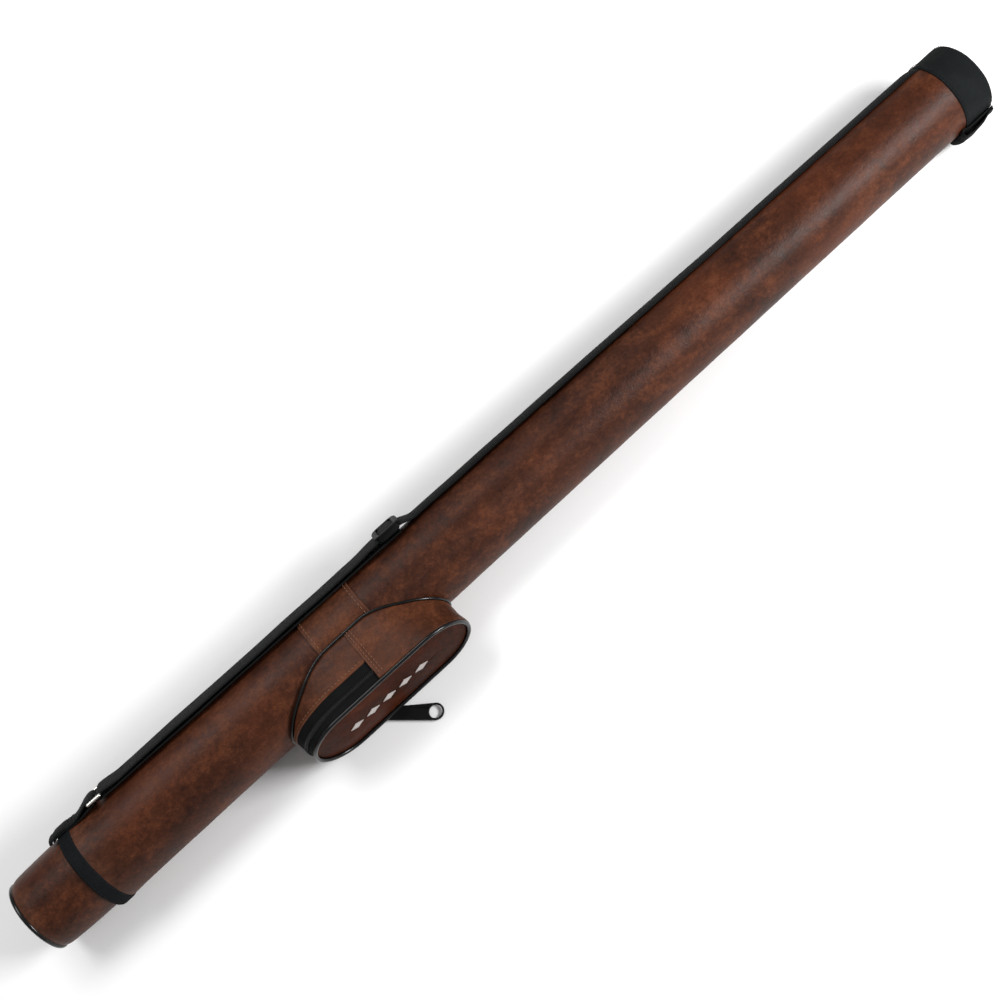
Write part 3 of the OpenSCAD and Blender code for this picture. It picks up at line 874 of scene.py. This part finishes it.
def add_side_cover():
    top_w = FRONT_W - 2 * PIPE_R
    lip = 1.1
    length = 2 * (FRONT_SHAPE[0] - FOLD) + math.pi * FRONT_SHAPE[2]
    u = np.concatenate([[-lip / length], np.linspace(-0.7 * lip / length, 1 + 0.7 * lip / length, 150),
                        [1 + lip / length]])
    share = np.concatenate([[0], np.linspace(0.015, 0.985, 32), [1]])
    shares, us = np.meshgrid(share, u, indexing="ij")
    foot = base_w(1, us, 1.0)
    w = foot + (top_w + 0.6 - foot) * shares
    flat = wall(1, us, w)
    from_fold = np.minimum(us * length + lip, (1 - us) * length + lip)
    near_foot = shares * (top_w - foot)
    sag = smooth_noise(flat, 15, 41) * 0.35 + smooth_noise(flat, 6, 42) * 0.12
    lifted = 0.55 * np.exp(-from_fold / 7) - 0.35 * np.exp(-from_fold / 0.3)
    waist = -0.6 * np.exp(-((shares - 0.62) / 0.22) ** 2) * (1 - np.exp(-from_fold / 12))
    out = sag + lifted + waist + 0.25
    top = wall(1, us, w, out)
    bottom = wall(1, us, w, np.maximum(out - WALL_T, -WALL_T) * 0.9)
    wear = np.maximum(np.exp(-from_fold / 0.9), 0.35 * np.exp(-near_foot / 1.5))
    piece = slab("pocket_side_leather", top, bottom, POUCH, wear=wear)
    finish_piece(piece, "case", "brown_leather", "pocket_side_cover")
    for name, inset in (("side_stitches_outer", 1.3), ("side_stitches_inner", 3.7)):
        for end, where in (("top", (inset + 0.2) / length), ("low", 1 - (inset + 0.2) / length)):
            foot_w = float(base_w(1, np.array([where]), 1.0)[0])
            line_w = np.linspace(foot_w + 1.5, top_w - 0.5, 60)
            line = wall(1, where, line_w, 0.72 if inset < 2 else 0.62)
            row = stitches(f"{name}_{end}", line, wall_normal(1, np.full(60, where), line_w),
                           BROWN_THREAD, pitch=2.7, r=0.28)
            finish_piece(row, "case", "brown_leather")


def add_pocket_pipings():
    base, _ = whole_outline(lambda side, u: base_w(side, u, 1.35) + 0.8, 0.95, 170)
    base = evenly(base, 1.6, closed=True)
    middle = np.array([POCKET_X, AXIS_Y - BASE_W, POCKET_Z])
    facing = unit(base - middle)
    pipe = swept("base_piping_cord", base, facing, circle_section(1.0), PIPING, closed=True)
    finish_piece(pipe, "case", "black_piping", "pocket_base_piping")
    front, _ = whole_outline(lambda side, u: np.full(np.shape(u), FRONT_W - PIPE_R), -PIPE_R, 170)
    front = evenly(front, 1.3, closed=True)
    facing = np.tile([0.0, -1.0, 0.0], (len(front), 1))
    pipe = swept("front_piping_cord", front, facing, circle_section(PIPE_R, 16), PIPING, closed=True)
    blend_over_fold(pipe, "black_piping", "front_piping_fixed", "front_piping_flap")


def add_pocket_back():
    """Leather laid on the band that closes the pocket behind."""
    edge, _ = whole_outline(lambda side, u: base_w(side, u, 1.35), -0.2, 90)
    ex, ez = edge[:, 0] - POCKET_X, edge[:, 2] - POCKET_Z
    spine_x = np.clip(ex, -BASE_SHAPES[1][0], BASE_SHAPES[1][0])
    share = np.linspace(0, 1, 16)[:, None]
    x = spine_x + (ex - spine_x) * share
    z = ez * share
    flat = np.stack([POCKET_X + x, x * 0, POCKET_Z + z], -1)
    lift = 1.95 + smooth_noise(flat, 14, 91) * 0.15
    layers = []
    for height in (lift, 1.1):
        r = tube_r(POCKET_X + x) + height
        w = np.sqrt(r ** 2 - (flat[..., 2] - AXIS_Z) ** 2)
        layers.append(np.stack([flat[..., 0], AXIS_Y - w, flat[..., 2]], -1))
    piece = slab("pocket_back_leather", layers[0], layers[1], POUCH, wrap_cols=True)
    finish_piece(piece, "case", "brown_leather", "pocket_back")


def front_height(x, z):
    """Height of the pocket's front over the tube's axis, at a place from its middle."""
    half, long, high = FRONT_SHAPE
    edge = np.hypot(np.maximum(np.abs(x) - half, 0), z) / (high - 2 * PIPE_R)
    puff = 2.0 * (1 - np.clip(edge, 0, 1) ** 2.4)
    return FRONT_W - 2.3 + puff


def swell(obj, held, cap, steps=20):
    """Puffs a closed padded piece with cloth simulation, its held points staying in place."""
    group = obj.vertex_groups.new(name="held")
    for index, weight in enumerate(held):
        if weight > 0:
            group.add([index], float(weight), "REPLACE")
    cloth = obj.modifiers.new("cloth", "CLOTH")
    setup = cloth.settings
    setup.quality = 6
    setup.mass = 0.3
    setup.tension_stiffness = setup.compression_stiffness = 20
    setup.shear_stiffness = 8
    setup.bending_stiffness = 0.4
    setup.use_pressure = True
    setup.uniform_pressure_force = 4.0
    setup.vertex_group_mass = "held"
    setup.effector_weights.gravity = 0
    cloth.collision_settings.use_collision = False
    cloth.point_cache.frame_start, cloth.point_cache.frame_end = 1, steps
    for number in range(1, steps + 1):
        scene.frame_set(number)
    count = len(obj.data.vertices)
    before, after = np.zeros(count * 3), np.zeros(count * 3)
    obj.data.vertices.foreach_get("co", before)
    shown = obj.evaluated_get(bpy.context.evaluated_depsgraph_get())
    shown.to_mesh().vertices.foreach_get("co", after)
    shown.to_mesh_clear()
    obj.modifiers.remove(cloth)
    obj.vertex_groups.remove(group)
    scene.frame_set(1)
    move = (after - before).reshape(-1, 3)
    length = np.linalg.norm(move, axis=1, keepdims=True)
    move *= np.minimum(1, cap * MM / np.maximum(length, 1e-9))
    obj.data.vertices.foreach_set("co", (before.reshape(-1, 3) + move).ravel())
    obj.data.update()


def add_front():
    edge, _ = whole_outline(lambda side, u: np.full(np.shape(u), FRONT_W), -2 * PIPE_R + 0.45, 100)
    ex, ez = edge[:, 0] - POCKET_X, edge[:, 2] - POCKET_Z
    spine_x = np.clip(ex, -FRONT_SHAPE[0], FRONT_SHAPE[0])
    share = np.linspace(0, 1, 20)[:, None] ** 0.85
    x = spine_x + (ex - spine_x) * share
    z = ez * share
    w = front_height(x, z)
    flat = np.stack([POCKET_X + x, AXIS_Y - w, POCKET_Z + z], -1)
    run = np.linspace(0, 2 * math.pi, len(ex), endpoint=False)
    pucker = 0.10 * np.sin(run * 67 + 2 * np.sin(run * 5)) * np.exp(-(1 - share) / 0.10)
    w = w + smooth_noise(flat, 17, 51) * 0.42 + smooth_noise(flat, 6, 52) * 0.12 + pucker
    top = np.stack([POCKET_X + x, AXIS_Y - w, POCKET_Z + z], -1)
    bottom = top + np.array([0, 1.8, 0])
    wear = np.repeat(0.6 * np.exp(-(1 - share) / 0.05), len(ex), 1)
    piece = slab("pocket_front_leather", top, bottom, FRONT_LEATHER, wrap_cols=True, wear=wear)
    x, y, z = np.array([v.co for v in piece.data.vertices]).T / MM
    x, z = x - POCKET_X, z - POCKET_Z
    rim = np.hypot(np.maximum(np.abs(x) - FRONT_SHAPE[0], 0), z) > FRONT_SHAPE[2] - 4.2
    under = AXIS_Y - y < front_height(x, z) - 0.9
    swell(piece, np.maximum(rim, under).astype(float), cap=1.2)
    smoother = piece.modifiers.new("smoother", "SUBSURF")
    smoother.levels = smoother.render_levels = 1
    blend_over_fold(piece, "brown_leather", "pocket_front", "pocket_flap")


def add_motif():
    """Row of plain embroidered diamonds along the middle of the front."""
    lines = []
    count, gap, half_long, half_high = 5, 14.0, 5.4, 3.6
    for n in range(count):
        centre = (n - (count - 1) / 2) * gap - 4
        for k in np.linspace(-0.92, 0.92, 17):
            reach = half_high * (1 - abs(k))
            x = centre + k * half_long + np.linspace(-0.35, 0.35, 7)
            z = np.linspace(-reach, reach, 7) + 2
            w = front_height(x, z) + 0.22 + 0.25 * np.sin(np.linspace(0, math.pi, 7))
            lines.append(np.stack([POCKET_X + x, AXIS_Y - w, POCKET_Z + z], -1))
    points, faces = [], []
    sides, r = 6, 0.33
    a = np.arange(sides) * 2 * math.pi / sides
    for line in lines:
        start = len(points) * len(line) * sides
        ring = line[:, None] + r * np.stack([np.cos(a), np.sin(a) * 0.8, np.zeros(sides)], -1)[None]
        points.append(ring.reshape(-1, 3))
        faces += tube_faces(len(line), sides, start)
    piece = make_mesh("front_motif_threads", np.concatenate(points), faces, PALE_THREAD)
    blend_over_fold(piece, "brown_leather")


def copies(name, shape, faces, origins, axes, material):
    """One small shape repeated: each copy has an origin and three axes."""
    count = len(origins)
    points = origins[:, None] + np.einsum("sk,nkc->nsc", shape, axes)
    every = [[i + n * len(shape) for i in face] for n in range(count) for face in faces]
    return make_mesh(name, points, every, material)


def capsule(length, wide, thick, sides=8):
    """Rounded peg along its first axis."""
    along = np.array([-1, -0.92, -0.7, 0, 0.7, 0.92, 1]) * length / 2
    size = np.array([0.25, 0.7, 1, 1, 1, 0.7, 0.25])
    a = np.arange(sides) * 2 * math.pi / sides
    rings = [np.stack([np.full(sides, p), s * wide / 2 * np.cos(a), s * thick / 2 * np.sin(a)], -1)
             for p, s in zip(along, size)]
    return np.concatenate(rings), tube_faces(len(along), sides)


def add_zip():
    tapes = (("zip_tape_gusset", GUSSET_W - 1.6, TEETH_W - 0.9, -0.75, "case", "zip_tape_fixed"),
             ("zip_tape_front", TEETH_W + 0.9, FRONT_W - 2 * PIPE_R + 0.2, -0.75, "flap", "zip_tape_flap"))
    u = np.linspace(0.004, 0.996, 170)
    for name, w0, w1, out, body, node in tapes:
        ws, us = np.meshgrid(np.linspace(w0, w1, 9), u, indexing="ij")
        flat = wall(-1, us, ws)
        out = out + smooth_noise(flat, 9, 61) * 0.15
        run = us * 180
        cloth = np.stack([run, ws, ws * 0], -1)
        piece = slab(name, wall(-1, us, ws, out), wall(-1, us, ws, out - 0.55), TAPE, cloth=cloth)
        finish_piece(piece, body, "zip_tape", node)
        for k, edge_w in enumerate((w0 + 2.4, w1 - 1.2) if body == "case" else (w0 + 1.5,)):
            line = wall(-1, u, edge_w, -0.62)
            row = stitches(f"{name}_seam_{k}", line, wall_normal(-1, u, edge_w), BLACK_THREAD, 2.2, r=0.15)
            finish_piece(row, body, "zip_tape")
    line_u = np.linspace(0.006, 0.994, 400)
    pitch = 1.25
    for name, centre_w, shift, body, node in (
        ("zip_coil_gusset", TEETH_W - 0.62, 0.0, "case", "zip_teeth_fixed"),
        ("zip_coil_front", TEETH_W + 0.62, 0.5, "flap", "zip_teeth_flap"),
    ):
        line = wall(-1, line_u, centre_w, -0.35)
        run = run_of(line)
        where = (np.arange(int(run[-1] / pitch) - 1) + 0.5 + shift) * pitch
        origins = at_run(where, run, line)
        at_u = np.interp(where, run, line_u)
        out = wall_normal(-1, at_u, centre_w)
        height = np.tile([0.0, -1.0, 0.0], (len(where), 1))
        along = unit(np.cross(height, out))
        shape, faces = capsule(2.3, 0.72, 1.15)
        piece = copies(name, shape, faces, origins, np.stack([height, along, out], 1), TOOTH)
        finish_piece(piece, body, "zip_teeth", node)


add_pocket_band()
add_gusset()
add_side_cover()
add_pocket_pipings()
add_pocket_back()
add_front()
add_motif()
add_zip()


# ---- Strap ----

TAB_LOW = box_mm("strap_tab")[0]
RING_LOW, RING_HIGH = box_mm("strap_ring")
ADJUST_LOW, ADJUST_HIGH = box_mm("strap_adjuster")
WEB_W, WEB_T = 25.0, 1.35
WIRE_R = 1.15
BAR_LIFT = 3.85
FOLD_LIFT = 1.85
FOLD_NOSE = 2.9
TAB_BAR_X = RING_LOW.x + WIRE_R
STRAP_BAR_X = RING_HIGH.x - WIRE_R
ADJUST_X = (ADJUST_LOW.x + ADJUST_HIGH.x) / 2
STRAP_DRIFT = 3
DOUBLE_TURN, SINGLE_TURN, TAB_STRAP_TURN = 141.5, 147, 148
ADJUST_LIFT = 5.7


def ribbon(name, x, lift, turn, curl, material, width=WEB_W):
    """Strap whose middle runs at these places, lifts and turns; curl 1 hugs the tube and 0 is flat."""
    x, lift, turn, curl = np.broadcast_arrays(*(np.asarray(v, float) for v in (x, lift, turn, curl)))
    section = strap_section(width, WEB_T)
    v, h = section[None, :, 0], section[None, :, 1]
    a = np.radians(turn)[:, None]
    out = np.stack([a * 0, -np.cos(a), np.sin(a)], -1)
    across = np.stack([a * 0, np.sin(a), np.cos(a)], -1)
    middle = around(x, tube_r(x) + lift, turn)
    along = unit(np.gradient(middle, axis=0))
    face = unit(np.cross(across[:, 0], along))[:, None]
    side = np.sum(face * out, -1)
    bend = v * (curl / (tube_r(x) + lift))[:, None]
    safe = np.where(np.abs(bend) < 1e-6, 1e-6, bend)
    reach = v * np.sin(safe) / safe + h * side * np.sin(bend)
    drop = v * (1 - np.cos(safe)) / safe
    points = (middle[:, None] + across * reach[..., None] - out * drop[..., None]
              + face * (h * np.cos(bend))[..., None])
    rows, cols = points.shape[:2]
    cloth = np.zeros((rows, cols, 3))
    cloth[..., 0] = run_of(middle)[:, None]
    cloth[..., 1] = v
    return make_mesh(name, points, tube_faces(rows, cols), material, cloth.reshape(-1, 3))


def fold_round(bar_x, side, steps=11):
    """Loose half turn of webbing round a ring's bar, from its lower layer to its upper one."""
    a = np.linspace(-math.pi / 2, math.pi / 2, steps)
    return bar_x + side * FOLD_NOSE * np.cos(a), BAR_LIFT + FOLD_LIFT * np.sin(a)


def ease(x, start, end):
    """0 before start and 1 after end, with a soft change between."""
    t = np.clip((x - start) / (end - start), 0, 1)
    return t * t * (3 - 2 * t)


def wave(x, seed):
    points = np.stack([x, np.full(len(x), seed * 9.1), np.zeros(len(x))], -1)
    return smooth_noise(points, 38, seed)


def add_strap():
    under_x = np.arange(ADJUST_X + 7, STRAP_BAR_X + 2, -2.0)
    under_lift = 1.4 + 0.3 * (1 + wave(under_x, 71))
    under_lift += (BAR_LIFT - FOLD_LIFT - under_lift) * (1 - ease(under_x, STRAP_BAR_X, STRAP_BAR_X + 14))
    fold_x, fold_lift = fold_round(STRAP_BAR_X, -1)
    over_x = np.arange(STRAP_BAR_X + 2, ADJUST_X + 7, 2.0)
    over_lift = 3.9 + 0.45 * (1 + wave(over_x, 72))
    over_lift += (BAR_LIFT + FOLD_LIFT - over_lift) * (1 - ease(over_x, STRAP_BAR_X, STRAP_BAR_X + 16))
    over_lift += (ADJUST_LIFT - over_lift) * ease(over_x, ADJUST_X - 34, ADJUST_X - 12)
    single_x = np.arange(ADJUST_X + 8, SLEEVE_X + 4, 2.0)
    landing = ease(single_x, ADJUST_X + 7, ADJUST_X + 20)
    tucked = ease(single_x, SLEEVE_X - 6, SLEEVE_X + 1)
    loose = 0.3 * landing * (1 + wave(single_x, 73))
    stands_off = 0.78 + 1.5 * (1 - ease(single_x, 40, 240))
    single_lift = ADJUST_LIFT + (stands_off - ADJUST_LIFT) * landing
    single_lift += loose * (1 - tucked) - 0.85 * tucked
    x = np.concatenate([under_x, fold_x, over_x, single_x])
    lift = np.concatenate([under_lift, fold_lift, over_lift, single_lift])
    settled = np.concatenate([np.zeros(len(under_x) + len(fold_x) + len(over_x)),
                              ease(single_x, ADJUST_X + 8, ADJUST_X + 26)])
    turn = DOUBLE_TURN + (SINGLE_TURN - DOUBLE_TURN) * settled
    turn = turn + STRAP_DRIFT * ease(x, ADJUST_X + 60, SLEEVE_X) + 0.5 * wave(x, 74)
    curl = 0.25 + 0.75 * settled
    strap = ribbon("strap_webbing", x, lift, turn, curl, WEB)
    finish_piece(strap, "case", "black_nylon", "shoulder_strap")
    v = np.linspace(-11, 11, 24)
    stitch_x = SLEEVE_X + 4.5
    ring_stitches("strap_end_stitches", stitch_x, tube_r(stitch_x) + 1.25,
                  SINGLE_TURN + STRAP_DRIFT + np.degrees(v / 29), BLACK_THREAD, 2.4, 0.24)


def add_strap_tab():
    fold_x, fold_lift = fold_round(TAB_BAR_X, 1)
    end_x = TAB_LOW.x + 6.5
    under_x = np.arange(end_x + 1.5, TAB_BAR_X - 1, 1.2)
    over_x = np.arange(TAB_BAR_X - 1, end_x + 0.5, -1.2)
    on_lid = -1.3 * ease(under_x, BAND_X0 + 1.5, BAND_X0 - 3)
    over_band = 1.25 * ease(under_x, BAND_X1 + 3.5, BAND_X1 - 0.5)
    to_bar = ease(under_x, TAB_BAR_X - 11, TAB_BAR_X)
    under_lift = 0.85 + over_band + on_lid + (BAR_LIFT - FOLD_LIFT - 0.85) * to_bar
    top_lid = -1.3 * ease(over_x, BAND_X0 + 1.5, BAND_X0 - 4)
    top_band = 1.15 * ease(over_x, BAND_X1 + 3.5, BAND_X1 - 0.5)
    to_bar = ease(over_x, TAB_BAR_X - 15, TAB_BAR_X)
    over_lift = 2.1 + top_band + top_lid + (BAR_LIFT + FOLD_LIFT - 2.1) * to_bar
    half_turn = np.linspace(math.pi / 2, 3 * math.pi / 2, 7)
    tail_x = end_x + 1.35 * np.cos(half_turn)
    tail_lift = (over_lift[-1] + under_lift[0]) / 2 + (over_lift[-1] - under_lift[0]) / 2 * np.sin(half_turn)
    x = np.concatenate([under_x, fold_x, over_x, tail_x])
    lift = np.concatenate([under_lift, fold_lift, over_lift, tail_lift])
    on_bar = ease(x, BAND_X1 + 2, TAB_BAR_X - 2)
    tab = ribbon("tab_webbing", x, lift, TAB_STRAP_TURN - 5 * on_bar, 1.0 - 0.7 * on_bar, WEB)
    finish_piece(tab, "case", "black_nylon", "strap_tab")
    v = np.linspace(-10.5, 10.5, 24)
    for n, (ahead, over) in enumerate(((3.2, 3.0), (6.0, 2.9))):
        stitch_x = BAND_X1 + ahead
        ring_stitches(f"tab_stitches_{n}", stitch_x, tube_r(stitch_x) + over,
                      TAB_STRAP_TURN + np.degrees(v / 34), BLACK_THREAD, 2.6, 0.24)


def add_end_tab():
    low, high = box_mm("end_tab")
    low.x += 2.5
    high.x += 1.5
    under_x = np.arange(high.x - 0.5, low.x + 2.5, -1.2)
    fold = np.linspace(-math.pi / 2, math.pi / 2, 9)
    fold_x = low.x + 2.6 - 1.7 * np.cos(fold)
    over_x = np.arange(low.x + 2.5, high.x - 1, 1.2)
    on_sleeve = 1.0 * ease(under_x, SLEEVE_X - 3, SLEEVE_X + 1)
    under_lift = 0.8 + on_sleeve
    ripple = 0.55 * np.sin((over_x - low.x) / 2.7) * np.exp(-((over_x - low.x - 17) / 8) ** 2)
    settle = ease(over_x, low.x + 12, high.x - 4)
    over_lift = 5.4 + 0.5 * ease(over_x, SLEEVE_X - 3, SLEEVE_X + 3) + ripple - 2.8 * settle
    fold_lift = (under_lift[-1] + over_lift[0]) / 2 + (over_lift[0] - under_lift[-1]) / 2 * np.sin(fold)
    x = np.concatenate([under_x, fold_x, over_x])
    lift = np.concatenate([under_lift, fold_lift, over_lift])
    tab = ribbon("end_tab_webbing", x, lift, TAB_TURN, 0.8, WEB)
    finish_piece(tab, "case", "black_nylon", "end_tab")


def add_adjuster_hump():
    x = np.arange(ADJUST_X - 6.4, ADJUST_X + 6.5, 0.8)
    lift = 5.9 + 2.6 * np.cos((x - ADJUST_X) / 6.6 * math.pi / 2)
    hump = ribbon("adjuster_webbing", x, lift, DOUBLE_TURN, 0.2, WEB, width=25.5)
    finish_piece(hump, "adjuster", "black_nylon")


ADJUST_TURN = 144
RAIL_W = 3.5
END_BAR_W = 4.0
FRAME_T = 1.8


def rounded_outline(half_a, half_b, power, count=72):
    a = np.arange(count) * 2 * math.pi / count
    bend = 2 / power
    return (half_a * np.sign(np.cos(a)) * np.abs(np.cos(a)) ** bend,
            half_b * np.sign(np.sin(a)) * np.abs(np.sin(a)) ** bend)


def add_adjuster():
    """Three-bar adjuster with rounded corners and edges, in the space of the CAD one."""
    origin = np.ravel(around(ADJUST_X, 0, ADJUST_TURN))
    behind, ahead = (np.ravel(around(x, tube_r(x), ADJUST_TURN)) for x in (ADJUST_X - 50, ADJUST_X + 50))
    along = unit(ahead - behind)
    out = unit(np.ravel(around(ADJUST_X, 1, ADJUST_TURN)) - origin)
    out = unit(out - along * (out @ along))
    across = np.cross(out, along)
    corners = np.array([v.co for v in nodes["strap_adjuster"].data.vertices]) / MM - origin
    local = corners @ np.stack([along, across, out], -1)
    low, high = local.min(0), local.max(0)
    half_u, half_v = (high - low)[:2] / 2
    middle_u, middle_v = (high + low)[:2] / 2

    def place(u, v, h):
        u, v, h = np.broadcast_arrays(np.asarray(u) + middle_u, np.asarray(v) + middle_v, h)
        return origin + u[..., None] * along + v[..., None] * across + h[..., None] * out

    outer_u, outer_v = rounded_outline(half_u, half_v, 4.5)
    inner_u, inner_v = rounded_outline(half_u - END_BAR_W, half_v - RAIL_W, 9)
    share = np.linspace(0, 1, 9)[:, None]
    u = inner_u + (outer_u - inner_u) * share
    v = inner_v + (outer_v - inner_v) * share
    dome = FRAME_T / 2 * (0.35 + 0.65 * (1 - np.abs(2 * share - 1) ** 3))
    ring = slab("adjuster_frame", place(u, v, high[2] - FRAME_T / 2 + dome),
                place(u, v, high[2] - FRAME_T / 2 - dome), PLASTIC, wrap_cols=True)
    finish_piece(ring, "adjuster", "black_plastic", "strap_adjuster")
    cheek_top = high[2] - FRAME_T / 2
    bar_low = high[2] - FRAME_T
    parts = [("adjuster_cheek_a", half_v - RAIL_W + 0.1, half_v - 0.3, half_u - 2.2, low[2], cheek_top),
             ("adjuster_cheek_b", 0.3 - half_v, RAIL_W - half_v - 0.1, half_u - 2.2, low[2], cheek_top),
             ("adjuster_bar", RAIL_W - half_v - 0.5, half_v - RAIL_W + 0.5, 2.0, bar_low, high[2] - 0.5)]
    for name, start, end, half_x, bottom, top in parts:
        path = place(0, np.linspace(start, end, 5), (bottom + top) / 2)
        section = np.stack(rounded_outline(half_x, (top - bottom) / 2, 4, 32), -1)
        part = swept(name, path, np.tile(out, (5, 1)), section, PLASTIC)
        finish_piece(round_edges(part, 0.45), "adjuster", "black_plastic")


add_strap()
add_strap_tab()
add_end_tab()
add_adjuster()
add_adjuster_hump()


# ---- CAD pieces that stay in view, with their edges rounded ----

def soften_node(name, material, edge):
    paint_node(name, material)
    weld = nodes[name].modifiers.new("weld", "WELD")
    weld.merge_threshold = 1e-6
    round_edges(nodes[name], edge, segments=3)


soften_node("zip_slider", ENAMEL, 0.16)
soften_node("zip_puller", RUBBER, 0.28)
paint_node("strap_ring", NICKEL)
